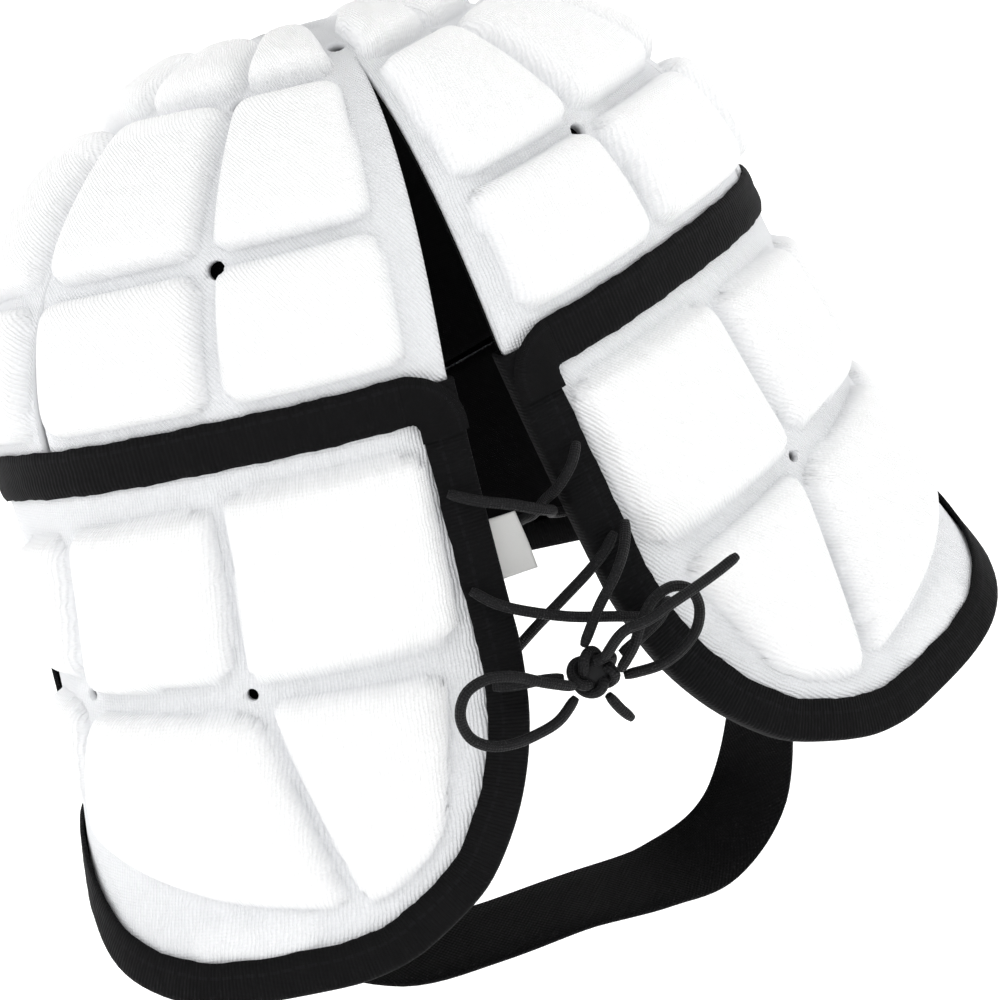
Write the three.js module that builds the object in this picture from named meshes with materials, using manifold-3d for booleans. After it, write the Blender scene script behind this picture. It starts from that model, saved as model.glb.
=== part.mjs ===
import * as THREE from "three";
import { mergeVertices } from "three/addons/utils/BufferGeometryUtils.js";
import Module from "manifold-3d";

// A padded scrum cap, held open at its laced back. Millimetres and degrees, +Z up.
// The face looks towards -Y, the laced back is at +Y and the wearer's left is at +X.
// The origin is the point inside the crown where the cap sits on the head.

// Form of the cap, at the bottom of the grooves between its pads
const seamHalfWidth = 95.5;
const seamHalfDepth = 96;
const crownHeight = 77;
const crownSideFullness = 1.08;
const crownBackFullness = 0.305;
const backBulge = 0.07;
const seamDrop = 3.5;
const lobeDrop = 126;
const cheekDrop = 84;
const browDrop = 62;
const frontDroop = 42;
const splayAngle = 5.8;
const lobeFlare = 0.19;
const lobeFlareGrowth = 0.22;
const lobeKick = 0.18;
const sideTuck = 0.04;

// Walls and clearances
const foamWall = 3;
const padRelief = 7;
const padShoulder = 6;
const liningWall = 1;
const layerGap = 0.3;
const seamGap = 2.4;
const tapeGap = 0.5;

// Openings
const slitLatitude = 62.8;
const slitLean = 3;
const sideSlitLatitude = 42;
const sideSlitWidth = 2.4;
const crownVentDiameter = 4.4;
const panelVentDiameter = 3.2;
const earHalfWidth = 20;
const earHalfHeight = 22;
const earDepth = 48;
const earAround = 84;
const earSides = 16;

// Tapes, tag, strap and lace
const tapeThickness = 1.1;
const seamTapeWidth = 11;
const edgeTapeWidth = 10;
const earTapeWidth = 6;
const outerLegGap = 0.5;
const innerLegGap = 1.6;
const frontSeamAround = 112;
const frontSeamHalf = 0.15;
const bindingBreakHalf = 0.5;
const tagThickness = 0.8;
const strapWidth = 25;
const strapThickness = 1.6;
const laceDiameter = 2.5;
const laceSides = 8;
const laceStep = 8.4;
const knotSize = { width: 13, height: 12, depth: 7.5 };
const knotReach = 10.5;

const { clamp, lerp, smoothstep, degToRad, radToDeg } = THREE.MathUtils;
const liningOffset = foamWall + layerGap;
const totalWall = liningOffset + liningWall;
const seamHeight = totalWall - crownHeight;
const slitTop = crownHeight * Math.sin(degToRad(slitLatitude));
const up = new THREE.Vector3(0, 0, 1);

// The lobes flare fully up to the first angle from the back centre, and not at all from the second.
const flareFull = 39;
const flareNone = 98;
const bulgeFrom = 25;
const bulgeTo = 100;
const droopStart = 60;
const ridgeRounding = 12;

// Crown pads: where each column starts and ends, in degrees from the back centre,
// at the seam, at the top of the back slit and round the top pads
const crownLevels = [0, slitLatitude, 80];
const crownColumns = [
  { start: [5.5, 5.5, 9], end: [28.5, 28, 28] },
  { start: [32.5, 32, 33], end: [55, 56, 56] },
  { start: [60, 61, 61], end: [84, 85, 86] },
  { start: [88, 89, 92], end: [112, 112, 114] },
  { start: [116, 116, 119], end: [144, 143, 145] },
  { start: [148, 147, 151], end: [175, 174, 172] },
];
const sideSlitAround = { seam: 57.5, top: 58.5 };
const crownRows = [
  { kind: "start", latitude: 4.5 },
  { kind: "end", latitude: 25 },
  { kind: "start", latitude: 29.5 },
  { kind: "end", latitude: 56 },
  { kind: "start", latitude: slitLatitude },
  { kind: "end", latitude: 75 },
  { kind: "start", latitude: 78.5 },
  { kind: "end", latitude: 86 },
  { kind: "edge", latitude: 90 },
];
const crownVents = [
  { around: 28.8, latitude: 25.8 },
  { around: 31, latitude: 54 },
  { around: 114, latitude: 27 },
];
const topVent = { around: 0, latitude: 68.5 };

// Side panel lines, from the laced edge to the front seam: degrees from the back centre at the
// seam, between the pad rows, at the lower pads' middle and foot and at the panel's edge,
// then the shares of lobeDrop where the upper pad starts and ends, the lower pad starts,
// passes its middle and ends, and where the panel ends
const panelLines = [
  { kind: "edge", around: [0, 0, 1.3, 4.9, 9.5], drop: [0.13, 0.445, 0.51, 0.65, 0.79, 0.895] },
  { kind: "start", around: [6.7, 7.3, 9.6, 13.4, 14.8], drop: [0.127, 0.45, 0.525, 0.67, 0.81, 0.95] },
  { kind: "middle", around: [19, 19.6, 18.6, 17.4, 18.5], drop: [0.127, 0.45, 0.515, 0.68, 0.85, 0.98] },
  { kind: "end", around: [32, 31.4, 26.9, 21.3, 23], drop: [0.127, 0.445, 0.505, 0.69, 0.87, 0.997] },
  { kind: "start", around: [35.4, 34.2, 30.3, 24.6, 26.4], drop: [0.14, 0.435, 0.515, 0.69, 0.87, 1] },
  { kind: "middle", around: [45.5, 45, 42.9, 38, 39.1], drop: [0.145, 0.42, 0.49, 0.66, 0.82, 0.995] },
  { kind: "end", around: [55, 54.6, 56, 56.5, 52], drop: [0.15, 0.41, 0.475, 0.58, 0.69, 0.93] },
  { kind: "start", around: [58, 58, 58.8, 59.2, 58.2], drop: [0.155, 0.4, 0.465, 0.56, 0.655, 0.87] },
  { kind: "end", around: [68, 68, 68, 67.5, 66], drop: [0.155, 0.38, 0.45, 0.51, 0.58, 0.79] },
  { kind: "edge", around: [73, 73, 73, 73, 72], drop: [0.16, 0.37, 0.43, 0.49, 0.55, 0.765] },
  { kind: "edge", around: [84, 84, 84, 84, 84], drop: [0.16, 0.36, 0.42, 0.48, 0.55, 0.74] },
  { kind: "edge", around: [95, 95, 95, 95, 95], drop: [0.16, 0.36, 0.42, 0.48, 0.55, 0.715] },
  { kind: "start", around: [98, 98, 98, 98, 98], drop: [0.14, 0.34, 0.4, 0.46, 0.55, 0.705] },
  { kind: "end", around: [108, 108, 108, 108, 107.5], drop: [0.14, 0.34, 0.4, 0.46, 0.54, 0.68] },
  { kind: "edge", around: Array(5).fill(frontSeamAround - frontSeamHalf), drop: [0.14, 0.34, 0.4, 0.46, 0.54, 2 / 3] },
];
const panelRowKinds = ["edge", "start", "end", "start", "middle", "end", "edge"];
const panelVents = [
  { around: 32.6, drop: 0.475 },
  { around: 56.6, drop: 0.44 },
];

// Front panel pads, in degrees from the back centre
const frontPads = [
  { start: 116, end: 144 },
  { start: 148, end: 175.5 },
];
const frontPadTop = 15;
const frontPadMargin = 13;

// Chin strap below its anchors: points of its middle line and the direction of its width
const strapPoints = [
  { at: [87.5, -20, -193], width: [0, -1, 0] },
  { at: [83.9, -22, -219], width: [-0.1, -1, 0.05] },
  { at: [71.4, -24, -244], width: [-0.3, -0.9, 0.2] },
  { at: [50, -23, -261], width: [-0.2, -0.9, 0.3] },
  { at: [23.2, -21, -267], width: [-0.05, -0.95, 0.3] },
  { at: [-5.4, -20, -270], width: [0, -0.96, 0.28] },
  { at: [-33.9, -22, -276], width: [0, -0.9, 0.4] },
  { at: [-55.4, -27, -278], width: [0.1, -0.6, 0.75] },
  { at: [-71.4, -30, -270], width: [0.4, -0.5, 0.75] },
  { at: [-83, -28, -247], width: [0.4, -0.85, 0.3] },
  { at: [-87.5, -24, -221], width: [0.1, -1, 0.1] },
  { at: [-88.4, -20, -193], width: [0, -1, 0] },
];
const strapAround = 103;
const strapTuck = 22;
const strapSteps = 32;
const strapLapSteps = { from: 7, to: 11 };

// Size tag: how far down the left binding it is sewn, and its free edge, from top to bottom
const tagEdges = [
  { drop: 36.5, free: [0.6, 88.6, -110.7] },
  { drop: 43.5, free: [0.1, 88.9, -118.2] },
  { drop: 50.5, free: [-0.1, 89.2, -125.2] },
];
const tagTurn = 1.2;

// Lace: points of each strand's middle line, chosen by hand
const laceRoutes = {
  lace_cross_upper: [
    [16.6, 99.9, -97.4], [11.5, 102.4, -100.7], [4, 103.4, -104.7], [-1.2, 103.4, -108], [-4.8, 99.6, -110.6],
    [-6.6, 93, -113], [-8, 88.4, -115], [-12, 87.8, -116.4],
  ],
  lace_cross_lower: [
    [-15.2, 100, -98.2], [-11.9, 102.6, -101.4], [-7.8, 101, -105.6], [-5.2, 97, -108.4], [-2.6, 91.5, -112.4],
    [-0.8, 86, -114.4], [3, 83, -116.4], [7, 82.4, -118.4],
  ],
  lace_cross_middle: [
    [19.4, 101.6, -119.6], [15, 104.2, -124.4], [2, 106, -132.6], [-10, 106.2, -138], [-16.5, 105.8, -141.2],
    [-19.4, 104.7, -142.6],
  ],
  lace_cross_back: [
    [-16.6, 101.4, -120.8], [-13, 102.6, -123.4], [-8, 101.6, -126.8], [0.5, 100.5, -131.2], [7.5, 96, -136.6],
    [12.5, 91, -141.7],
  ],
  lace_lead_middle: [
    [-19.8, 102.1, -119.2], [-16, 107, -123], [-11.5, 110, -126.6], [-5, 110.8, -132], [-0.6, 110.4, -137.2],
    [0.9, 109.6, -140],
  ],
  lace_lead_left: [[22.6, 104.9, -141.6], [18, 107.6, -142.3], [13, 109, -143], [8, 109.2, -144.6]],
  lace_lead_right: [[-22.9, 105, -139.6], [-18.6, 109.2, -141], [-12.6, 111, -142.6], [-6.8, 110.4, -144.6]],
  lace_loop_left: [
    [8.2, 112.5, -146.6], [13.6, 114, -141.6], [19.4, 114.4, -137.4], [25.4, 114.6, -135.2], [30.6, 114.4, -136.2],
    [33.6, 114.2, -140.6], [33.2, 114.2, -146.2], [29.6, 114, -150.2], [24.5, 113.6, -152.2], [18.4, 113, -152.8],
    [12.6, 112.2, -152.4], [7.8, 110.6, -150.4],
  ],
  lace_loop_right: [
    [-6.6, 114, -147.6], [-8.4, 115.6, -142], [-11.4, 116.4, -137.4], [-15.4, 116.6, -133.6], [-20.4, 116.6, -132.4],
    [-24.4, 116.4, -134.6], [-25.6, 116.2, -139.2], [-23.6, 116, -144.2], [-19.2, 115.4, -147.6],
    [-13.8, 114, -149.6], [-7.2, 111.4, -150.6],
  ],
  lace_end_long: [
    [-3.2, 115.4, -140.4], [-6.4, 119, -136.4], [-12, 120.4, -135.8], [-18.4, 120.6, -134.4], [-25, 119.8, -133.6],
    [-31, 118.8, -132.8], [-37, 118, -131.6],
  ],
  lace_end_short: [[-1, 109, -153.3], [-2.6, 109.2, -157.4], [-4.6, 109, -161]],
};
const knotCentre = new THREE.Vector3(0.6, 109.4, -146.4);

// A point of the cap's outer form. turn runs from the back centre round the wearer's left, 0 to 360.
// level is a latitude in degrees on the crown, or minus the drop in millimetres below the seam.
function capPoint(turn, level) {
  const side = turn <= 180 ? 1 : -1;
  const around = side > 0 ? turn : 360 - turn;
  const angle = degToRad(around);
  const latitude = degToRad(Math.max(level, 0));
  const drop = Math.max(-level, 0);
  const share = drop / lobeDrop;
  const flare = 1 - smoothstep(around, flareFull, flareNone);
  const bulge = 1 + backBulge * Math.sin(Math.PI * clamp((around - bulgeFrom) / (bulgeTo - bulgeFrom), 0, 1)) ** 2;
  const widening = flare * (lobeFlare * share + lobeFlareGrowth * share ** 2) - (1 - flare) * sideTuck * share;
  const halfWidth = seamHalfWidth * bulge * Math.cos(latitude) ** crownSideFullness;
  const halfDepth = seamHalfDepth * bulge * Math.cos(latitude) ** crownBackFullness;
  const x = halfWidth * (1 + widening) * Math.sin(angle);
  const y = halfDepth * (1 + flare * lobeKick * share ** 2) * Math.cos(angle);
  const droop = frontDroop * smoothstep(around, droopStart, 180) * Math.cos(latitude);
  const z = crownHeight * Math.sin(latitude) - drop - droop;
  return spread(side, x, y, z);
}

// The opened slit turns each side of the cap outwards about the top of the slit, fully at the back
// and not at all at the front.
function spread(side, x, y, z) {
  const lean = degToRad(splayAngle) * clamp((y + seamHalfDepth) / (2 * seamHalfDepth), 0, 1.2);
  const below = Math.max(slitTop - z, 0);
  const edge = y > 0 ? 1 : x / Math.hypot(x, ridgeRounding);
  const lift = (Math.hypot(x, ridgeRounding) - ridgeRounding) * Math.sin(lean);
  const outX = side * (x * Math.cos(lean) + edge * below * Math.sin(lean));
  const outZ = slitTop - (slitTop - z) * Math.cos(lean) + lift;
  return new THREE.Vector3(outX, y, outZ + seamHeight);
}

// Outward direction at a point of the form
function capNormal(turn, level) {
  const step = 0.05;
  if (level > 90 - step) return up.clone();
  const here = capPoint(turn, level);
  const round = capPoint(turn + step, level).sub(here);
  const rise = capPoint(turn, level + step).sub(here);
  return rise.cross(round).normalize();
}

function offsetPoint(turn, level, distance) {
  return capPoint(turn, level).addScaledVector(capNormal(turn, level), distance);
}

// Solids from lists of triangles
function volumeOf(points) {
  let six = 0;
  for (let i = 0; i < points.length; i += 3) {
    six += points[i].dot(points[i + 1].clone().cross(points[i + 2]));
  }
  return six / 6;
}

function solidFrom(points) {
  const facing = volumeOf(points) > 0 ? points : points.toReversed();
  const merged = mergeVertices(new THREE.BufferGeometry().setFromPoints(facing), 1e-3);
  const index = Array.from(merged.index.array);
  const kept = [];
  for (let i = 0; i < index.length; i += 3) {
    const [a, b, c] = index.slice(i, i + 3);
    if (a !== b && b !== c && c !== a) kept.push(a, b, c);
  }
  return merged.setIndex(kept);
}

function pointsOf(geometry) {
  const flat = geometry.index ? geometry.toNonIndexed() : geometry;
  const position = flat.getAttribute("position");
  return Array.from({ length: position.count }, (_, i) => new THREE.Vector3().fromBufferAttribute(position, i));
}

function mirrored(geometry) {
  return solidFrom(pointsOf(geometry).map((point) => point.setX(-point.x)));
}

const wasm = await Module();
wasm.setup();

function manifoldOf(geometry) {
  const vertProperties = new Float32Array(geometry.getAttribute("position").array);
  const triVerts = new Uint32Array(geometry.index.array);
  return new wasm.Manifold(new wasm.Mesh({ numProp: 3, vertProperties, triVerts }));
}

function cutOut(geometry, tools) {
  const cut = tools.reduce((solid, tool) => solid.subtract(manifoldOf(tool)), manifoldOf(geometry));
  const mesh = cut.getMesh();
  const result = new THREE.BufferGeometry();
  result.setAttribute("position", new THREE.BufferAttribute(mesh.vertProperties, 3));
  return result.setIndex(new THREE.BufferAttribute(mesh.triVerts, 1));
}

// Padded sheets. A lattice holds the corners of the pads as { turn, level } rows, and the kinds of
// its rows and columns say where a pad starts, passes its middle and ends.
function stations(kinds, shoulderShare) {
  const list = [];
  kinds.forEach((kind, index) => {
    list.push({ at: index, main: true, inside: kind === "middle" });
    if (kind === "start") list.push({ at: index + shoulderShare(index), main: false, inside: true });
    if (kinds[index + 1] === "end") {
      list.push({ at: index + 1 - shoulderShare(index), main: false, inside: true });
    }
  });
  return list;
}

function latticePlace(nodes, row, column) {
  const r = Math.min(Math.floor(row), nodes.length - 2);
  const c = Math.min(Math.floor(column), nodes[0].length - 2);
  const mix = (key) =>
    lerp(
      lerp(nodes[r][c][key], nodes[r][c + 1][key], column - c),
      lerp(nodes[r + 1][c][key], nodes[r + 1][c + 1][key], column - c),
      row - r,
    );
  return { turn: mix("turn"), level: mix("level") };
}

function latticeStations({ nodes, rowKinds, columnKinds }) {
  const middleRow = Math.floor(nodes.length / 2) - 1;
  const gapTo = (r1, c1, r2, c2) => {
    const from = nodes[r1][c1];
    const to = nodes[r2][c2];
    return capPoint(from.turn, from.level).distanceTo(capPoint(to.turn, to.level));
  };
  const share = (gap) => Math.min(padShoulder / gap, 0.4);
  return {
    rows: stations(rowKinds, (i) => share(gapTo(i, 2, i + 1, 2))),
    columns: stations(columnKinds, (i) => share(gapTo(middleRow, i, middleRow, i + 1))),
  };
}

const insideBoth = (row, column) => row.inside && column.inside;

// A closed wall over a lattice: its outer face takes the pads, its inner face stays plain.
function paddedSheet(lattice, { outer, inner, relief = 0, isPad = insideBoth, closedFrom = Infinity }) {
  const { nodes } = lattice;
  const { rows, columns } = latticeStations(lattice);
  const used = (list) => (relief > 0 ? list : list.filter((station) => station.main));
  const place = (row, column, distance) => {
    const { turn, level } = latticePlace(nodes, row.at, column.at);
    return offsetPoint(turn, level, distance);
  };
  const outerRows = used(rows);
  const outerColumns = used(columns);
  const face = outerRows.map((row) =>
    outerColumns.map((column) => ({
      point: place(row, column, outer + (isPad(row, column) ? relief : 0)),
      back: row.main && column.main ? place(row, column, inner) : null,
      row: row.at,
    })),
  );
  const back = face
    .filter((_, i) => outerRows[i].main)
    .map((line) => line.filter((_, j) => outerColumns[j].main).map((node) => node.back));
  const points = [];
  const quad = (a, b, c, d) => points.push(a, b, c, a, c, d);
  for (let i = 0; i + 1 < face.length; i++) {
    for (let j = 0; j + 1 < face[i].length; j++) {
      quad(face[i][j].point, face[i][j + 1].point, face[i + 1][j + 1].point, face[i + 1][j].point);
    }
  }
  for (let i = 0; i + 1 < back.length; i++) {
    for (let j = 0; j + 1 < back[i].length; j++) {
      quad(back[i][j], back[i + 1][j], back[i + 1][j + 1], back[i][j + 1]);
    }
  }
  const rim = (line) => {
    let from = line[0];
    for (let k = 1; k < line.length; k++) {
      points.push(line[k].point, line[k - 1].point, from.back);
      if (line[k].back) {
        points.push(line[k].point, from.back, line[k].back);
        from = line[k];
      }
    }
  };
  const open = face.filter((line) => line[0].row <= closedFrom);
  rim(face[0]);
  rim(open.map((line) => line.at(-1)));
  if (closedFrom === Infinity) rim(face.at(-1).toReversed());
  rim(open.map((line) => line[0]).toReversed());
  return solidFrom(points);
}

// A closed body through a row of like outlines, capped or joined end to start. flat is the outline
// drawn in its own plane.
function loft(sections, flat, joined = false) {
  const points = [];
  const spans = joined ? sections.length : sections.length - 1;
  for (let i = 0; i < spans; i++) {
    const here = sections[i];
    const next = sections[(i + 1) % sections.length];
    here.forEach((point, j) => {
      const k = (j + 1) % here.length;
      points.push(point, here[k], next[k], point, next[k], next[j]);
    });
  }
  if (!joined) {
    const windings = THREE.ShapeUtils.area(flat) > 0;
    THREE.ShapeUtils.triangulateShape(flat, []).forEach((face) => {
      const turned = THREE.ShapeUtils.area(face.map((index) => flat[index])) > 0;
      const [a, b, c] = turned === windings ? face : face.toReversed();
      points.push(sections[0][c], sections[0][b], sections[0][a]);
      points.push(sections.at(-1)[a], sections.at(-1)[b], sections.at(-1)[c]);
    });
  }
  return solidFrom(points);
}

const flatOutline = (pairs) => pairs.map(([x, y]) => new THREE.Vector2(x, y));

// Outline placed in space: its first measure along one direction, its second along another
function placed(flat, centre, first, second) {
  return flat.map(({ x, y }) => centre.clone().addScaledVector(first, x).addScaledVector(second, y));
}

const ellipse = (halfWidth, halfHeight, sides) =>
  Array.from({ length: sides }, (_, i) => {
    const angle = (i * 2 * Math.PI) / sides;
    return new THREE.Vector2(halfWidth * Math.cos(angle), halfHeight * Math.sin(angle));
  });

// Directions at a place of the form: outwards, round the head and up
function capFrame(turn, level) {
  const out = capNormal(turn, level);
  const round = capPoint(turn + 0.05, level).sub(capPoint(turn - 0.05, level)).normalize();
  return { out, round, rise: round.clone().cross(out) };
}

function plug(turn, level, flat, from, to) {
  const { out, round, rise } = capFrame(turn, level);
  const centre = capPoint(turn, level);
  const ends = [from, to].map((distance) => centre.clone().addScaledVector(out, distance));
  return loft(ends.map((end) => placed(flat, end, round, rise)), flat);
}

function ventPlug(turn, level, diameter) {
  const deep = -foamWall - layerGap / 2;
  return plug(turn, level, ellipse(diameter / 2, diameter / 2, 6), deep, padRelief + 3);
}

// Crown: one sheet with its slit at the back and a slit at each side
const crownEdge = { kind: "edge", latitude: seamGap / 2 - seamDrop };
const crownRowList = [crownEdge, ...crownRows];
const slitRow = crownRowList.findIndex((row) => row.latitude === slitLatitude);
const topRow = slitRow + 2;

function levelled(values, latitude) {
  const upper = latitude > crownLevels[1] ? 1 : 0;
  const share = clamp((latitude - crownLevels[upper]) / (crownLevels[upper + 1] - crownLevels[upper]), 0, 1);
  return lerp(values[upper], values[upper + 1], share);
}

const crownHalf = crownColumns.flatMap(({ start, end }) => [
  { kind: "start", around: (latitude) => levelled(start, latitude) },
  { kind: "end", around: (latitude) => levelled(end, latitude) },
]);
const slitTurn = (latitude) => -slitLean * clamp(latitude / slitLatitude, 0, 1);
const flipped = { start: "end", end: "start" };
const crownLines = [
  { kind: "edge", turn: slitTurn },
  ...crownHalf.map(({ kind, around }) => ({ kind, turn: around })),
  { kind: "edge", turn: () => 180 },
  ...crownHalf.toReversed().map(({ kind, around }) => ({
    kind: flipped[kind],
    turn: (latitude) => 360 - around(latitude),
  })),
  { kind: "edge", turn: (latitude) => 360 + slitTurn(latitude) },
];
const crownLattice = {
  nodes: crownRowList.map(({ latitude }) => crownLines.map(({ turn }) => ({ turn: turn(latitude), level: latitude }))),
  rowKinds: crownRowList.map(({ kind }) => kind),
  columnKinds: crownLines.map(({ kind }) => kind),
};
const topPads = [[1, 6], [7, 12], [14, 19], [20, 25]];

function crownPad(row, column) {
  if (row.at < topRow) return row.inside && column.inside;
  return row.inside && topPads.some(([first, last]) => column.at > first && column.at < last);
}

function sideSlitPlug(side) {
  const levels = [-seamDrop - 1, sideSlitLatitude / 3, (sideSlitLatitude * 2) / 3, sideSlitLatitude];
  const widths = [1, 0.95, 0.7, 0.1];
  const sections = levels.map((level, i) => {
    const around = lerp(sideSlitAround.seam, sideSlitAround.top, Math.max(level, 0) / slitLatitude);
    const turn = side > 0 ? around : 360 - around;
    const { out, round } = capFrame(turn, level);
    const half = (sideSlitWidth * widths[i]) / 2;
    const flat = flatOutline([[-half, -foamWall - layerGap / 2], [half, -foamWall - layerGap / 2], [half, 12], [-half, 12]]);
    return { flat, ring: placed(flat, capPoint(turn, level), round, out) };
  });
  return loft(sections.map(({ ring }) => ring), sections[0].flat);
}

const crownCuts = [
  sideSlitPlug(1),
  sideSlitPlug(-1),
  ventPlug(topVent.around, topVent.latitude, crownVentDiameter),
  ...crownVents.flatMap(({ around, latitude }) => [
    ventPlug(around, latitude, crownVentDiameter),
    ventPlug(360 - around, latitude, crownVentDiameter),
  ]),
];
const panelLayer = { outer: 0, inner: -foamWall, relief: padRelief };
const liningLayer = { outer: -liningOffset, inner: -totalWall };
const crownPanel = cutOut(
  paddedSheet(crownLattice, { ...panelLayer, isPad: crownPad, closedFrom: slitRow }),
  crownCuts,
);
const crownLining = paddedSheet(crownLattice, { ...liningLayer, closedFrom: slitRow });

// Side panels, drawn on the wearer's left and mirrored
const lineTurns = ({ around }) => [around[0], around[0], around[1], around[1], around[2], around[3], around[4]];
const lineLevels = ({ drop }) => [-seamDrop - seamGap / 2, ...drop.map((share) => -share * lobeDrop)];
const sideLattice = {
  nodes: panelRowKinds.map((_, i) => panelLines.map((line) => ({ turn: lineTurns(line)[i], level: lineLevels(line)[i] }))),
  rowKinds: panelRowKinds,
  columnKinds: panelLines.map(({ kind }) => kind),
};
const earOutline = ellipse(earHalfWidth, earHalfHeight, earSides);
const ear = capFrame(earAround, -earDepth);
const earTurnPerMm = 0.05 / capPoint(earAround + 0.05, -earDepth).distanceTo(capPoint(earAround, -earDepth));
const earRim = earOutline.map(({ x, y }) => ({ turn: earAround + x * earTurnPerMm, level: y - earDepth }));
const earPlug = loft(
  [-20, 20].map((reach) => earRim.map(({ turn, level }) => capPoint(turn, level).addScaledVector(ear.out, reach))),
  earOutline,
);
const sidePanel = cutOut(paddedSheet(sideLattice, panelLayer), [
  earPlug,
  ...panelVents.map(({ around, drop }) => ventPlug(around, -drop * lobeDrop, panelVentDiameter)),
]);
const sideLining = cutOut(paddedSheet(sideLattice, liningLayer), [earPlug]);

// Front panel
const frontFoot = (around) => lerp(cheekDrop, browDrop, smoothstep(around, frontSeamAround, 180));
const frontHalf = [
  { kind: "edge", around: frontSeamAround + frontSeamHalf },
  ...frontPads.flatMap(({ start, end }) => [
    { kind: "start", around: start },
    { kind: "middle", around: (start + end) / 2 },
    { kind: "end", around: end },
  ]),
];
const frontLines = [
  ...frontHalf.map(({ kind, around }) => ({ kind, turn: around, around })),
  ...frontHalf.toReversed().map(({ kind, around }) => ({ kind: flipped[kind] ?? kind, turn: 360 - around, around })),
];
const frontDrops = [
  () => seamDrop + seamGap / 2,
  () => frontPadTop,
  (foot) => (frontPadTop + foot - frontPadMargin) / 2,
  (foot) => foot - frontPadMargin,
  (foot) => foot,
];
const frontLattice = {
  nodes: frontDrops.map((drop) => frontLines.map(({ turn, around }) => ({ turn, level: -drop(frontFoot(around)) }))),
  rowKinds: ["edge", "start", "middle", "end", "edge"],
  columnKinds: frontLines.map(({ kind }) => kind),
};
const frontPanel = paddedSheet(frontLattice, panelLayer);
const frontLining = paddedSheet(frontLattice, liningLayer);

// Flat tapes over the seams
function evenly(from, to, step) {
  const count = Math.max(Math.ceil(Math.abs(to - from) / step), 1);
  return Array.from({ length: count + 1 }, (_, i) => lerp(from, to, i / count));
}

function tapeOver(turns, levels) {
  const nodes = levels.map((level) => turns.map((turn) => ({ turn, level })));
  const kinds = (list) => list.map(() => "edge");
  const lattice = { nodes, rowKinds: kinds(levels), columnKinds: kinds(turns) };
  return paddedSheet(lattice, { outer: tapeGap + tapeThickness, inner: tapeGap });
}

const seamTapeStart = 6.4;
const seamTapeStep = 7.3;
const seamTapeTop = radToDeg(Math.asin((seamTapeWidth / 2 - seamDrop) / crownHeight));
const seamTapeFoot = -seamDrop - seamTapeWidth / 2;
const seamTape = tapeOver(evenly(seamTapeStart, 360 - seamTapeStart, seamTapeStep), [seamTapeTop, -seamDrop, seamTapeFoot]);
const frontTapeHalf = 2.3;
const frontSeamTape = tapeOver(
  [frontSeamAround - frontTapeHalf, frontSeamAround, frontSeamAround + frontTapeHalf],
  evenly(seamTapeFoot - 1.5, edgeTapeWidth - cheekDrop, 14),
);

// Bindings folded over the free edges
function bindingOutline(width, wall) {
  const fold = -outerLegGap - tapeThickness;
  const leg = width + fold;
  return flatOutline([
    [leg, outerLegGap],
    [leg, outerLegGap + tapeThickness],
    [fold, outerLegGap + tapeThickness],
    [fold, -wall - tapeThickness],
    [leg, -wall - tapeThickness],
    [leg, -wall],
    [-outerLegGap, -wall],
    [-outerLegGap, outerLegGap],
  ]);
}

function bindingAlong(places, flat, joined = false) {
  const at = places.map(({ turn, level }) => capPoint(turn, level));
  const count = at.length;
  const sections = at.map((point, i) => {
    const before = joined ? at[(i + count - 1) % count] : at[Math.max(i - 1, 0)];
    const after = joined ? at[(i + 1) % count] : at[Math.min(i + 1, count - 1)];
    const arriving = point.clone().sub(before).normalize();
    const leaving = after.clone().sub(point).normalize();
    const along = arriving.add(leaving).normalize();
    const out = capNormal(places[i].turn, places[i].level);
    const inwards = along.clone().cross(out).normalize();
    return placed(flat, point, inwards, inwards.clone().cross(along));
  });
  return loft(sections, flat, joined);
}

const edgeOutline = bindingOutline(edgeTapeWidth, totalWall + innerLegGap);
const sideStations = latticeStations(sideLattice);
const lastRow = sideLattice.nodes.length - 1;
const edgePlaces = [
  { turn: slitTurn(seamTapeTop), level: seamTapeTop },
  { turn: 0, level: 0 },
  ...sideStations.rows.map(({ at }) => latticePlace(sideLattice.nodes, at, 0)),
  ...sideStations.columns.slice(1).map(({ at }) => latticePlace(sideLattice.nodes, lastRow, at)),
];
edgePlaces.at(-1).turn = frontSeamAround - bindingBreakHalf;
const edgeBinding = bindingAlong(edgePlaces, edgeOutline);
const frontEdgeStart = frontSeamAround + bindingBreakHalf;
const frontEdgeTurns = evenly(frontEdgeStart, 360 - frontEdgeStart, 8);
const frontEdgePlaces = frontEdgeTurns.map((turn) => ({ turn, level: -frontFoot(turn > 180 ? 360 - turn : turn) }));
const frontBinding = bindingAlong(frontEdgePlaces, edgeOutline);

// Ear openings are bound round their rims
const earBindingOutline = bindingOutline(earTapeWidth, totalWall + innerLegGap);
const earBinding = loft(
  earRim.map(({ turn, level }, i) => {
    const before = capPoint(earRim.at(i - 1).turn, earRim.at(i - 1).level);
    const after = capPoint(earRim[(i + 1) % earSides].turn, earRim[(i + 1) % earSides].level);
    const out = capNormal(turn, level);
    const outwards = out.clone().cross(after.sub(before)).normalize();
    const onSide = out.addScaledVector(outwards, -out.dot(outwards)).normalize();
    return placed(earBindingOutline, capPoint(turn, level), outwards, onSide);
  }),
  [],
  true,
);

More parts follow.
